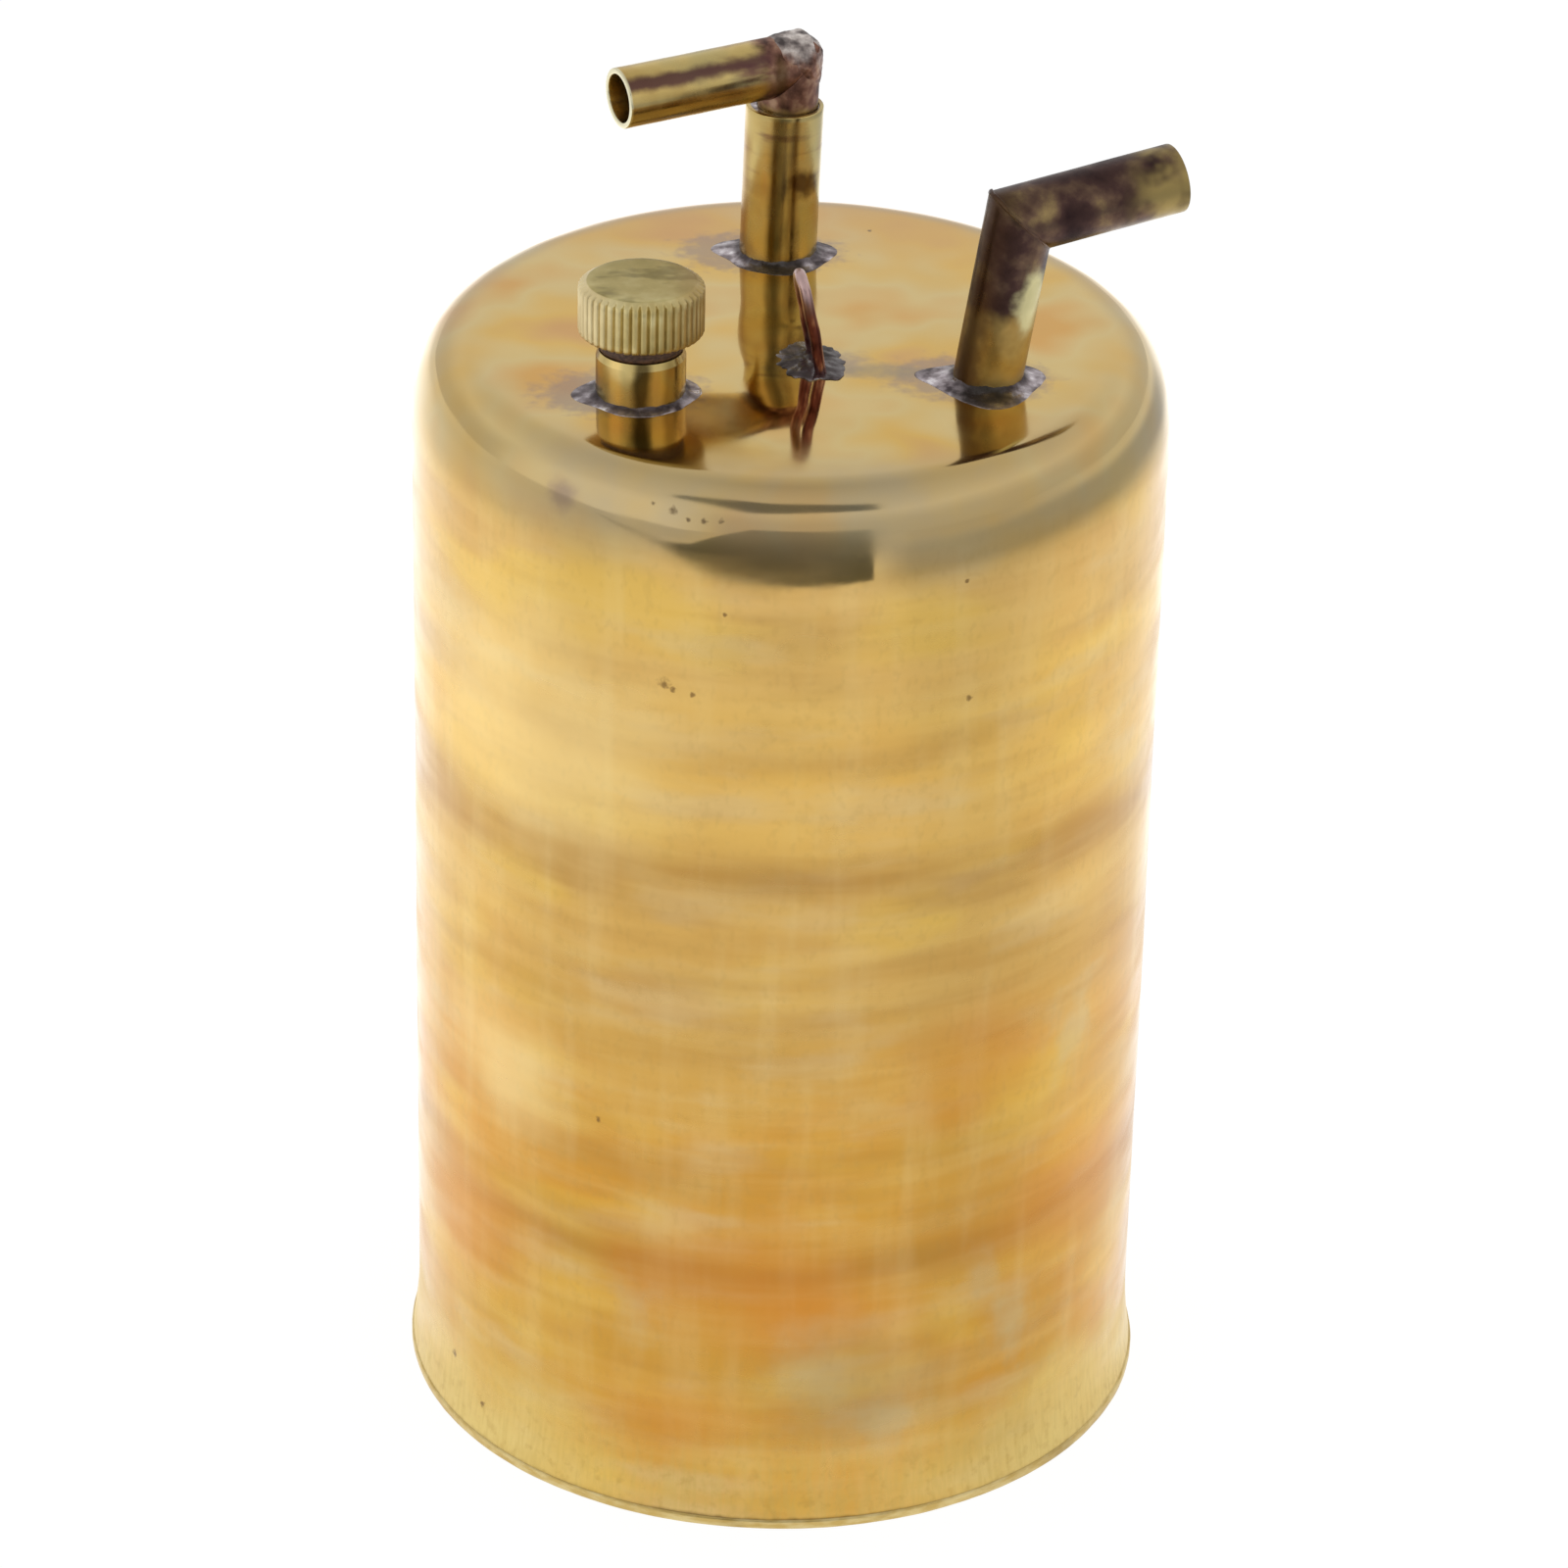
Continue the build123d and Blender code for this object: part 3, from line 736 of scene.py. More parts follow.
def arc(centre, radius, start, end, steps):
    """(r, z) points of a profile arc; degrees, 0 outwards and 90 up."""
    angles = [radians(start + (end - start) * i / steps) for i in range(steps + 1)]
    return [(centre[0] + radius * cos(a), centre[1] + radius * sin(a)) for a in angles]


def span(start, end, steps):
    """(r, z) points evenly spaced from start to end, without the start."""
    return [
        (start[0] + (end[0] - start[0]) * i / steps, start[1] + (end[1] - start[1]) * i / steps)
        for i in range(1, steps + 1)
    ]


def spin(name, profile, columns, shape, centre=Vector((0, 0, 0))):
    """A profile turned about an upright axis; it starts and ends on the axis.

    shape turns (r, z, angle) into the (r, z) that the surface has there.
    """
    points = [centre + UP * profile[0][1]]
    for r, z in profile[1:-1]:
        for angle in full_turn(columns):
            far, high = shape(r, z, angle)
            points.append(centre + polar(far, angle, high))
    points.append(centre + UP * profile[-1][1])
    return new_object(name, points, ball_faces(len(profile) - 2, columns))


def ring_spin(name, profile, columns, shape, centre):
    """A closed profile turned about an upright axis into a ring."""
    points = []
    for r, z in profile:
        for angle in full_turn(columns):
            far, high = shape(r, z, angle)
            points.append(centre + polar(far, angle, high))
    return new_object(name, points, grid_faces(len(profile), columns, True))


def rod(origin, axis, radius, low, high, columns=64):
    """A closed bar for cutting holes."""
    side, across = sides(axis)
    points = [origin + axis * low]
    for t in (low, high):
        for angle in full_turn(columns):
            points.append(origin + axis * t + (side * cos(angle) + across * sin(angle)) * radius)
    points.append(origin + axis * high)
    return new_object("rod", points, ball_faces(2, columns))


# ---------- tank and base
def wall_sway(z, angle):
    """How far the drawn wall stands out from its true shape, in mm."""
    spot = polar(TANK_R, angle, z)
    out = 0.05 * lumps(spot, 32.0, 1.0)
    for ring_height, half_width, darkness in RINGS:
        wander = 1.6 * lumps((spot.x, spot.y, 0), 40.0, ring_height)
        out -= 0.035 * darkness * exp(-((z - ring_height - wander) / half_width) ** 2)
    return out


def lid_drop(x, y):
    """How far the lid slopes down towards its front edge, in mm."""
    r = hypot(x, y)
    if r < DOME_FROM:
        return 0.0
    front = (1 - y / r) / 2
    return DOME_CURVE * (r - DOME_FROM) ** 2 / 2 * front * front


def shoulder_point(lift, angle):
    """(r, z) on the shoulder; lift runs from 0 at the wall to a quarter turn at the lid.

    It is a round arc at the back. At the front it turns in later and reaches further down.
    """
    half = (1 + sin(angle)) / 2
    back = half * half * (3 - 2 * half)
    wide = FRONT_SHOULDER_WIDE + (SHOULDER_R - FRONT_SHOULDER_WIDE) * back
    tall = FRONT_SHOULDER_TALL + (SHOULDER_R - FRONT_SHOULDER_TALL) * back
    power = FRONT_SHOULDER_POWER + (2 - FRONT_SHOULDER_POWER) * back
    out = max(0.0, cos(lift)) ** (2 / power)
    high = max(0.0, sin(lift)) ** (2 / power)
    return TANK_R - wide + wide * out, LID - tall + tall * high


def tank_shape(r, z, angle):
    """The tank's true surface: flat shape first, then the slope of the lid."""
    far, high = flat_lid_shape(r, z, angle)
    return far, high - lid_drop(far * cos(angle), far * sin(angle)) * high / LID


def flat_lid_shape(r, z, angle):
    """The outside follows the shoulder all round and sways a little; the inside is plain."""
    lid_r, shoulder_z = TANK_R - SHOULDER_R, LID - SHOULDER_R
    if z > LID - 0.001:
        lid_edge = shoulder_point(pi / 2, angle)[0]
        inward = min(1.0, (1 - r / lid_r) * lid_edge / 9)
        ease = inward * inward * (3 - 2 * inward)
        r *= lid_edge / lid_r
        spot = polar(r, angle)
        return r, z + ease * (0.05 * lumps(spot, 9.0, 7.0) + 0.03 * lumps(spot, 18.0, 3.0) - 0.05)
    if z > shoulder_z and hypot(r - lid_r, z - shoulder_z) > SHOULDER_R - WALL / 2:
        r, z = shoulder_point(atan2(z - shoulder_z, r - lid_r), angle)
    elif r > TANK_R - WALL / 2:
        wall_top = shoulder_point(0, angle)[1]
        if z > FLARE_TOP:
            z = FLARE_TOP + (z - FLARE_TOP) * (wall_top - FLARE_TOP) / (shoulder_z - FLARE_TOP)
    else:
        return r, z
    return r + wall_sway(z, angle) * min(1.0, (z - PLATE_T) / 6) * min(1.0, (LID - z) / 12), z


def build_tank():
    shoulder_z = LID - SHOULDER_R
    lid_r = TANK_R - SHOULDER_R
    outer = [(0, LID)] + span((0, LID), (lid_r, LID), 38)
    outer += arc((lid_r, shoulder_z), SHOULDER_R, 90, 0, 48)[1:]
    outer += span((TANK_R, shoulder_z), (WAIST_R, FLARE_TOP), 130)
    flare = [FLARE_TOP + (PLATE_T - FLARE_TOP) * i / 12 for i in range(1, 13)]
    drop = FLARE_TOP - PLATE_T
    outer += [(WAIST_R + (FLARE_R - WAIST_R) * ((FLARE_TOP - z) / drop) ** 2, z) for z in flare]
    inner = [(FLARE_R - WALL, PLATE_T)]
    inner += span(inner[0], (WAIST_R - WALL, FLARE_TOP), 4)
    inner += span(inner[-1], (TANK_R - WALL, shoulder_z), 8)
    inner += arc((lid_r, shoulder_z), SHOULDER_R - WALL, 0, 90, 8)[1:]
    inner += span((lid_r, LID - WALL), (0, LID - WALL), 8)
    tank = spin("tank", outer + inner, 288, tank_shape)
    for foot, axis, radius in (
        (NECK_FOOT, UP, NECK_R + 0.1),
        (INLET_FOOT, INLET_UP, INLET_R + 0.1),
        (OUTLET_FOOT, OUTLET_UP, OUTLET_R + 0.1),
    ):
        combine(tank, rod(foot, axis, radius, -4, 4), "DIFFERENCE")
    settle(tank, "tank_brass", "tank", ["tank_shell"])


def base_shape(r, z, angle):
    if r < PLATE_R - 1:
        return r, z
    spot = polar(PLATE_R, angle, z)
    return r - 0.06 + 0.06 * lumps(spot, 9.0, 2.0) + 0.03 * lumps(spot, 2.0, 5.0), z


def build_base():
    edge = 0.35
    profile = [(0, 0)] + span((0, 0), (PLATE_R - edge, 0), 8)
    profile += arc((PLATE_R - edge, edge), edge, -90, 0, 5)[1:]
    profile += span((PLATE_R, edge), (PLATE_R, PLATE_T - edge), 2)
    profile += arc((PLATE_R - edge, PLATE_T - edge), edge, 0, 90, 5)[1:]
    profile += span((PLATE_R - edge, PLATE_T), (0, PLATE_T), 8)
    plate = spin("base_disc", profile, 360, base_shape)
    settle(plate, "base_brass", "tank", ["base_plate"])


# ---------- neck, cap and washer
def knurl(r, z, angle):
    """Rounded ridges with narrow grooves, which run out at both edges."""
    if r < HEAD_R - 0.75:
        return r, z
    spot = (NECK_AT.x + r * cos(angle), NECK_AT.y + r * sin(angle), z)
    share = (angle * KNURLS / TURN) % 1.0
    away = abs(share - 0.5)
    groove = exp(-((0.5 - away) / GROOVE_SHARE) ** 2)
    crown = (2 * away) ** 2
    bite = min(1.0, max(0.0, (r - KNURL_START) / 0.35))
    depth = KNURL_DEPTH * (1 + 0.25 * lumps(spot, 3.0, 4.0)) * groove + KNURL_CROWN * crown
    return r - bite * depth + 0.015 * lumps(spot, 1.2, 9.0), z


def build_cap():
    top_w, top_h, under = 0.95, 0.6, 0.25
    profile = [(0, HEAD_TOP)] + span((0, HEAD_TOP), (HEAD_R - top_w - 0.1, HEAD_TOP), 8)
    shoulder = (HEAD_R, HEAD_TOP - top_h)
    profile += [(HEAD_R - top_w + 0.02, HEAD_TOP - 0.03)]
    profile += span(profile[-1], (shoulder[0] - 0.12, shoulder[1] + 0.06), 4)
    profile += [(HEAD_R - 0.03, shoulder[1] - 0.04)]
    profile += span((HEAD_R, shoulder[1] - 0.15), (HEAD_R, HEAD_BOTTOM + under + 0.1), 8)
    profile += [(HEAD_R - 0.06, HEAD_BOTTOM + under - 0.05), (HEAD_R - under, HEAD_BOTTOM)]
    profile += span((HEAD_R - under, HEAD_BOTTOM), (0, HEAD_BOTTOM), 4)
    cap = spin("knurled_cap", profile, KNURLS * 14, knurl, NECK_AT)

    mesh_top = HEAD_BOTTOM + 1.0
    thread_low = NECK_BOTTOM + PITCH / 2
    ridge_half, flank, run = 0.31, 0.23, 0.5
    last_low, last_high = STEM_BOTTOM + 0.45, HEAD_BOTTOM - 2.2

    def thread(r, z, angle):
        """The stem's ridge, half a pitch above the neck's."""
        if r < CORE_R - 0.01 or z > last_high or z < last_low:
            return r, z
        turns = (z - thread_low) / PITCH - angle / TURN + 0.5
        off = abs(turns - round(turns)) * PITCH
        crest = max(0.0, min(1.0, (ridge_half - off) / flank))
        run_out = min(1.0, (last_high - z) / run, (z - last_low) / run)
        return r + (THREAD_DEPTH - 0.04) * crest * run_out, z

    stem = [(0, mesh_top)] + span((0, mesh_top), (CORE_R, mesh_top), 2)
    stem += span((CORE_R, mesh_top), (CORE_R, STEM_BOTTOM + 0.4), 110)
    stem += [(CORE_R - 0.4, STEM_BOTTOM), (0, STEM_BOTTOM)]
    combine(cap, spin("stem", stem, 72, thread, NECK_AT), "UNION")
    settle(cap, "cap_brass", "cap", ["filler_cap"], crease=50)


def build_washer():
    low, high, lip = NECK_TOP, HEAD_BOTTOM, 0.3
    mid = (low + high) / 2

    def shape(r, z, angle):
        if r < WASHER_R - 0.6:
            return r, z
        spot = polar(WASHER_R, angle, z)
        waist = 0.12 * exp(-((z - mid) / 0.25) ** 2)
        return r - waist - 0.05 + 0.05 * lumps(spot, 1.4, 2.0), z

    profile = [(WASHER_HOLE_R, low), (WASHER_HOLE_R, high)]
    profile += span((WASHER_HOLE_R, high), (WASHER_R - lip, high), 1)
    profile += arc((WASHER_R - lip, high - lip), lip, 90, 0, 4)[1:]
    profile += span((WASHER_R, high - lip), (WASHER_R, low + lip), 8)
    profile += arc((WASHER_R - lip, low + lip), lip, 0, -90, 4)[1:]
    washer = ring_spin("sealing_washer", profile, 96, shape, NECK_AT)
    settle(washer, "washer", "washer", ["cap_washer"])


# ---------- pipes
def pipe(name, origin, axis, outer, bore, low, high, slot, nodes, rows=30, lip=0.1):
    """A tube between planes, each (point, normal), with rounded ends.

    The end is where the first of the planes in `low` or `high` cuts it.
    """
    columns = 96
    side, across = sides(axis)
    corner = [radians(a) for a in (0, 30, 60, 90)]
    profile = [(i / rows, lip * (1 - 2 * i / rows), outer) for i in range(rows + 1)]
    profile += [(1, lip * (sin(a) - 1), outer - lip * (1 - cos(a))) for a in corner[1:]]
    profile += [(1, lip * (cos(a) - 1), bore + lip * (1 - sin(a))) for a in corner]
    profile += [(share, lip * (1 - 2 * share), bore) for share in (0.75, 0.5, 0.25, 0)]
    profile += [(0, lip * (1 - sin(a)), bore + lip * (1 - cos(a))) for a in corner[1:]]
    profile += [(0, lip * (1 - cos(a)), outer - lip * (1 - sin(a))) for a in corner[:-1]]

    def reach(planes, radial, pick):
        return pick((point - origin - radial).dot(normal) / axis.dot(normal) for point, normal in planes)

    points = []
    for share, shift, radius in profile:
        for angle in full_turn(columns):
            out = side * cos(angle) + across * sin(angle)
            start = reach(low, out * radius, max)
            end = reach(high, out * radius, min)
            spot = origin + axis * (start + (end - start) * share + shift)
            swell = 0.02 * lumps(spot + out * radius, 5.0, 3.0)
            points.append(spot + out * (radius + swell))
    made = new_object(name, points, grid_faces(len(profile), columns, True))
    settle(made, slot, "tank", nodes)


def build_inlet():
    mitre = (INLET_ELBOW, (INLET_UP + INLET_RUN).normalized())
    outward = (INLET_UP - INLET_RUN).normalized()
    corner = (INLET_ELBOW + outward * CORNER_CUT, outward)
    below = (UP * (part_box("inlet_dip_tube")[0].z / MM), UP)
    pipe(
        "inlet_tube", INLET_ELBOW, INLET_UP, INLET_R, INLET_BORE, [below], [mitre, corner],
        "tube_brass", ["inlet_dip_tube"], rows=60,
    )
    mouth = (INLET_ELBOW + INLET_RUN * INLET_LENGTH, INLET_RUN)
    pipe(
        "inlet_side_tube", INLET_ELBOW, INLET_RUN, INLET_R, INLET_BORE, [mitre, corner], [mouth],
        "tube_brass", ["inlet_spigot"], lip=0.14,
    )
    lid = (SLEEVE_FOOT, UP)
    top = (SLEEVE_FOOT + INLET_UP * SLEEVE_RISE, INLET_UP)
    pipe(
        "inlet_outer_tube", SLEEVE_FOOT, INLET_UP, SLEEVE_R, SLEEVE_BORE, [lid], [top],
        "tube_brass", ["inlet_sleeve"], lip=0.12,
    )


def build_outlet():
    mitre = (OUTLET_ELBOW, (OUTLET_UP + OUTLET_RUN).normalized())
    below = (OUTLET_FOOT - OUTLET_UP * OUTLET_DROP, OUTLET_UP)
    pipe(
        "outlet_rising_tube", OUTLET_ELBOW, OUTLET_UP, OUTLET_R, OUTLET_BORE, [below], [mitre],
        "oxidised_brass", ["outlet_riser"],
    )
    mouth = (OUTLET_ELBOW + OUTLET_RUN * OUTLET_LENGTH, OUTLET_RUN)
    pipe(
        "outlet_side_tube", OUTLET_ELBOW, OUTLET_RUN, OUTLET_R, OUTLET_BORE, [mitre], [mouth],
        "oxidised_brass", ["outlet_spigot"], lip=0.14,
    )


# ---------- solder
def puddle(name, foot, axis, hole, spread, smears, thick, climb, nodes, seed):
    """Hand-laid solder round a tube on the lid.

    smears are (azimuth in degrees, length, half width in degrees).
    """
    columns, rows = 144, 22
    sink = -0.2

    def rim(angle):
        out = hole + spread
        for azimuth, length, width in smears:
            apart = (angle - radians(azimuth) + pi) % TURN - pi
            out += length * exp(-(apart / radians(width)) ** 2)
        spot = polar(hole, angle)
        return out + 0.3 * spread * lumps(spot, 2.2, seed) + 0.1 * lumps(spot, 0.7, seed)

    profile = [(0, climb)] + [(i / rows, None) for i in range(rows + 1)]
    profile += [(1, sink), (0.5, sink), (0, sink)]
    points = []
    for share, fixed in profile:
        for angle in full_turn(columns):
            inner = hole - 0.12
            away = (rim(angle) - inner) * share
            far = inner + away
            spot = polar(far, angle)
            if fixed is None:
                body = thick * max(0.0, 1 - share) ** 0.8
                crawl = climb * exp(-away / 0.4)
                rough = 1 + 0.4 * lumps(spot, 1.3, seed) + 0.15 * lumps(spot, 0.5, seed)
                height = (body + crawl) * rough - 0.04 * share
            else:
                height = fixed * (1 + 0.3 * lumps(spot, 1.5, seed)) if fixed > 0 else fixed
            lean = Vector((axis.x, axis.y, 0)) * (height / axis.z)
            place = foot + lean + spot
            points.append(place + UP * (height - lid_drop(place.x, place.y)))
    made = new_object(name, points, grid_faces(len(profile), columns, True))
    settle(made, "solder", "tank", nodes, crease=80)


def build_lid_solder():
    puddle(
        "neck_solder", NECK_FOOT, UP, NECK_R, 0.75,
        ((186, 1.7, 26), (4, 0.9, 24), (60, 0.4, 18), (275, 0.4, 40)),
        0.2, 0.4, ["filler_neck_solder"], 1.7,
    )
    puddle(
        "inlet_foot_solder", SLEEVE_FOOT, INLET_UP, SLEEVE_R, 0.8,
        ((172, 2.3, 24), (8, 1.5, 25), (225, 0.6, 25), (285, 1.2, 45)),
        0.24, 0.5, ["inlet_lid_solder"], 4.2,
    )
    puddle(
        "outlet_foot_solder", OUTLET_FOOT, OUTLET_UP, OUTLET_R, 0.9,
        ((176, 3.0, 22), (14, 1.7, 32), (215, 0.8, 25), (278, 2.6, 44)),
        0.24, 0.6, ["outlet_lid_solder"], 7.9,
    )


def build_eye_solder():
    """A dark ragged mound that holds both feet of the wire."""
    centre = (EYE_BACK + EYE_FRONT) / 2 + Vector((-0.6, 0.4, 0))
    columns, rows = 120, 18
    thick, sink = 0.5, -0.12
    long_way = atan2(EYE_FRONT.y - EYE_BACK.y, EYE_FRONT.x - EYE_BACK.x)

    def rim(angle):
        out = 3.3 + 1.5 * cos(angle - long_way) ** 2
        spot = polar(3, angle)
        return out + 0.9 * lumps(spot, 1.3, 2.0) + 0.45 * lumps(spot, 0.45, 5.0)

    points = [centre + UP * 0.9 * thick]
    for i in range(1, rows + 1):
        share = i / rows
        for angle in full_turn(columns):
            far = rim(angle) * share
            spot = polar(far, angle)
            height = thick * (1 - share ** 1.4) * (1 + 0.8 * lumps(spot, 1.2, 6.0)) - 0.03 * share
            points.append(centre + spot + UP * height)
    for angle in full_turn(columns):
        points.append(centre + polar(rim(angle), angle, sink))
    points.append(centre + UP * sink)
    made = new_object("eye_solder", points, ball_faces(rows + 1, columns))
    settle(made, "solder", "tank", ["wire_eye_solder"], crease=80)


def build_elbow_lump():
    """Lumpy solder that closes the cut corner of the inlet's elbow."""
    outward = (INLET_UP - INLET_RUN).normalized()
    columns, rows = 96, 64
    side, across = sides(outward)
    most = 3.8
    room = cad_high.z / MM - INLET_ELBOW.z - 0.02

    def surface(way):
        leg = INLET_UP if way.dot(INLET_UP + INLET_RUN) < 0 else INLET_RUN
        off_axis = (way - leg * way.dot(leg)).length
        reach = min(most, INLET_R / max(off_axis, 0.2))
        facing = way.dot(outward)
        cover = max(0.0, min(1.0, (facing + 0.15) / 0.5))
        spot = way * INLET_R
        rough = 0.16 * lumps(spot, 1.3, 3.0) + 0.08 * lumps(spot, 0.5, 8.0)
        far = min(reach + (0.18 + rough) * cover - 0.1 * (1 - cover), most + rough)
        return min(far, room / max(way.z, 0.1))

    points = [INLET_ELBOW + outward * surface(outward)]
    for i in range(1, rows + 1):
        tilt = pi * i / (rows + 1)
        for angle in full_turn(columns):
            level = side * cos(angle) + across * sin(angle)
            way = outward * cos(tilt) + level * sin(tilt)
            points.append(INLET_ELBOW + way * surface(way))
    points.append(INLET_ELBOW - outward * surface(-outward))
    made = new_object("inlet_corner_solder", points, ball_faces(rows, columns))
    combine(made, rod(INLET_ELBOW, INLET_RUN, INLET_BORE, -1.0, 9.0), "DIFFERENCE")
    combine(made, rod(INLET_ELBOW, -INLET_UP, INLET_BORE, -1.0, 9.0), "DIFFERENCE")
    settle(made, "solder", "tank", ["inlet_elbow_solder"], elbow_finish, crease=80)


def build_mitre_bead():
    """A low uneven bead of solder along the outlet's mitre."""
    normal = (OUTLET_UP + OUTLET_RUN).normalized()
    side = OUTLET_UP.cross(OUTLET_RUN).normalized()
    across = OUTLET_UP.cross(side)
    columns, rows = 24, 160
    bead_r, sunk = 0.17, 0.14
    points = []
    for angle in full_turn(rows):
        out = side * cos(angle) + across * sin(angle)
        rise = -(out * OUTLET_R).dot(normal) / OUTLET_UP.dot(normal)
        middle = OUTLET_ELBOW + out * (OUTLET_R - sunk) + OUTLET_UP * rise
        away = (middle - OUTLET_ELBOW).normalized()
        for turn in full_turn(columns):
            spot = middle + away * cos(turn) + normal * sin(turn)
            thick = bead_r * (1 + 0.4 * lumps(spot, 1.6, 4.0) + 0.2 * lumps(spot, 0.5, 1.0))
            points.append(middle + away * cos(turn) * thick + normal * sin(turn) * thick * 1.5)
    made = new_object("outlet_mitre_solder", points, grid_faces(rows, columns, True))
    settle(made, "solder", "tank", ["outlet_elbow_solder"], finishes["oxidised_brass"], crease=80)


# ---------- wire eye
def build_eye():
    """Hairpin of wire: two legs and a half turn, slightly uneven."""
    half = (EYE_FRONT - EYE_BACK) / 2
    bend_r = half.length
    up = EYE_LEAN.normalized()
    bend = (EYE_BACK + EYE_FRONT) / 2 + up * (EYE_LEAN.length - bend_r - WIRE_R)
    legs, turns = 14, 20
    line = [EYE_BACK + (bend - half - EYE_BACK) * (i / legs) for i in range(legs)]
    for i in range(turns + 1):
        angle = pi * i / turns
        line.append(bend - half * cos(angle) + up * bend_r * sin(angle))
    line += [bend + half + (EYE_FRONT - bend - half) * (i / legs) for i in range(1, legs + 1)]
    columns = 20
    flat = half.cross(up).normalized()
    points = [line[0]]
    for i, spot in enumerate(line):
        ahead = (line[min(i + 1, len(line) - 1)] - line[max(i - 1, 0)]).normalized()
        away = ahead.cross(flat)
        wobble = flat * 0.12 * lumps(spot, 4.0, 2.0)
        for angle in full_turn(columns):
            out = flat * cos(angle) + away * sin(angle)
            thick = WIRE_R * (1 + 0.1 * lumps(spot + out, 1.5, 3.0))
            points.append(spot + wobble + out * thick)
    points.append(line[-1])
    made = new_object("wire_loop", points, ball_faces(len(line), columns))
    settle(made, "wire", "tank", ["wire_eye"], crease=60)


# ---------- stage
COOL_LIGHT = (0.93, 1, 1.08, 1)


def empty_material(name):
    """A material with only its output, and its graph."""
    material = bpy.data.materials.new(name)
    material.use_nodes = True
    g = Graph(material.node_tree)
    g.tree.nodes.remove(g.tree.nodes["Principled BSDF"])
    return material, g


def emitter(name, low, high, dim, bright):
    """A glow that rises from dim at height `low` to bright at `high`, in metres."""
    material, g = empty_material(name)
    strength = g.fade(g.z, low, high, dim, bright)
    glow = g.node("Emission", {"Color": COOL_LIGHT, "Strength": strength})
    g.tree.links.new(glow.outputs[0], g.tree.nodes["Material Output"].inputs[0])
    return material


def board(name, y, outline, dim, bright):
    """A standing board that only shows in the metal's reflections, brighter upwards."""
    mesh = bpy.data.meshes.new(name)
    mesh.from_pydata([(x, y, z) for x, z in outline], [], [range(len(outline))])
    foot = min(z for x, z in outline)
    top = max(z for x, z in outline)
    mesh.materials.append(emitter(name, foot + (top - foot) / 3, top, dim, bright))
    made = add_object(name, mesh)
    made.visible_camera = False
    made.visible_diffuse = False
    made.visible_shadow = False
    made.visible_transmission = False


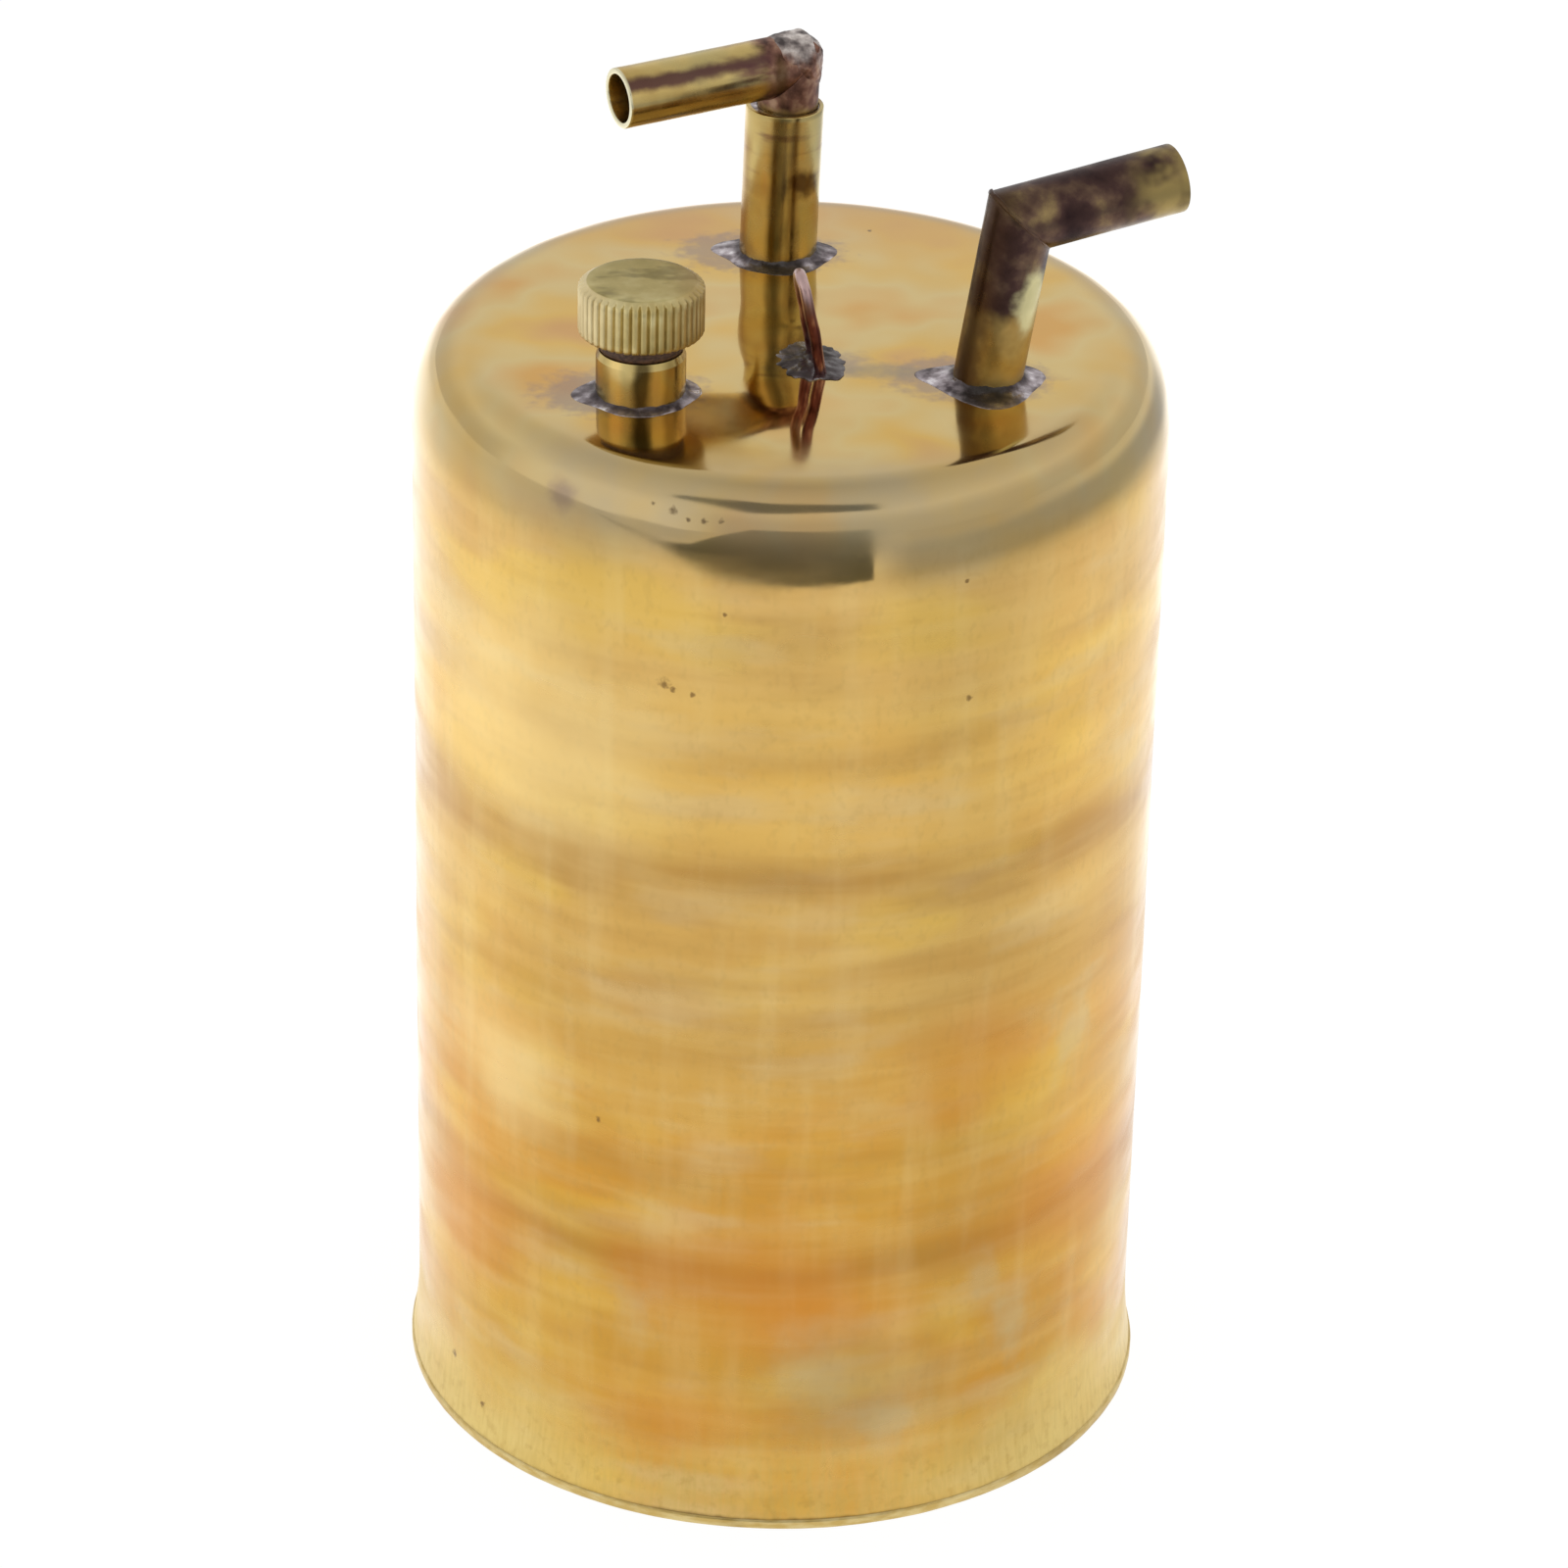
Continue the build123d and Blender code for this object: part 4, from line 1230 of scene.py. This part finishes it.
def build_floor():
    size = 6.0
    mesh = bpy.data.meshes.new("floor")
    level = -0.00002
    corners = [(x * size, y * size, level) for x, y in ((-1, -1), (1, -1), (1, 1), (-1, 1))]
    mesh.from_pydata(corners, [], [(0, 1, 2, 3)])
    material, g = empty_material("floor")
    away = g.from_axis()
    frontness = g.math("DIVIDE", g.times(g.y, -1), g.plus(away, 0.001))
    side = g.math("DIVIDE", g.x, g.plus(away, 0.001))
    near = g.fade(frontness, -0.2, 0.8, 1.35, 0.96)
    right = g.times(g.fade(side, 0.53, 0.58, 1.0, 0.92), g.fade(side, 0.58, 0.95, 1.0, 0.9))
    left = g.fade(side, -0.7, -0.98, 1.0, 0.9)
    aside = g.times(right, left)
    glow = g.times(g.times(near, aside), g.fade(away, 0.35, 1.2, 1.0, 0.65))
    belt = g.times(g.fade(away, 0.22, 0.4), g.fade(away, 1.3, 0.6))
    dull = g.plus(g.fade(side, 0.3, 0.62), g.fade(side, -0.5, -0.85, 0.0, 0.45))
    glow = g.lay(belt, dull, glow, (0.42, 0.45, 0.52, 1))
    seen = g.node("LightPath").outputs["Is Camera Ray"]
    glow = g.mix(seen, glow, (0.93, 0.93, 0.93, 1))
    light = g.node("Emission", {"Color": glow, "Strength": 1.0})
    matt = g.node("BsdfDiffuse", {"Color": (0.12, 0.12, 0.12, 1)})
    both = g.node("AddShader", {0: light.outputs[0], 1: matt.outputs[0]})
    g.tree.links.new(both.outputs[0], g.tree.nodes["Material Output"].inputs[0])
    mesh.materials.append(material)
    add_object("floor", mesh)


def build_world():
    """White to the camera; to the metal, a soft studio that dims overhead."""
    world = bpy.data.worlds.new("studio")
    world.use_nodes = True
    scene.world = world
    g = Graph(world.node_tree, "Generated")
    rise = g.math("DIVIDE", g.math("ARCSINE", g.z), pi / 2)
    sky = g.ramp(
        rise,
        (0.0, "#d6d6d6"),
        (0.12, "#dcdcdc"),
        (0.27, "#f2f2f2"),
        (0.5, "#e2e2e2"),
        (1.0, "#c8c8c8"),
    )
    left_front = g.plus(g.times(g.x, -0.87), g.times(g.y, -0.5))
    window = g.times(g.fade(left_front, 0.72, 0.95), g.fade(g.z, 0.5, 0.3))
    sky = g.mix(window, sky, "#ffffff")
    seen = g.node("LightPath").outputs["Is Camera Ray"]
    sky = g.mix(seen, sky, "#ffffff")
    backdrop = g.tree.nodes["Background"]
    g.tree.links.new(sky, backdrop.inputs["Color"])
    backdrop.inputs["Strength"].default_value = 1.05


def build_stage():
    build_floor()
    build_world()
    low_edge = [(-0.42, 0.092), (-0.2, 0.055), (-0.1, 0.02), (0.124, 0.016)]
    top_edge = [(0.116, 0.137), (-0.05, 0.137), (-0.14, 0.078), (-0.2, 0.065)]
    board("front_board", -0.284, low_edge + top_edge, 0.17, 0.4)
    low_edge = [(-0.36, 0.47), (-0.1, 0.31), (0.26, 0.39)]
    top_edge = [(0.26, 0.52), (-0.36, 0.55)]
    board("high_board", -0.5, low_edge + top_edge, 0.26, 0.26)


# ---------- making
build_tank()
build_base()
build_cap()
build_washer()
build_inlet()
build_outlet()
build_lid_solder()
build_eye_solder()
build_elbow_lump()
build_mitre_bead()
build_eye()
for name, slot in (
    ("filler_neck", "tube_brass"),
    ("base_seam_solder", "solder"),
    ("inlet_sleeve_solder", "solder"),
):
    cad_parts[name].material_slots[0].material = finishes[slot]
build_stage()
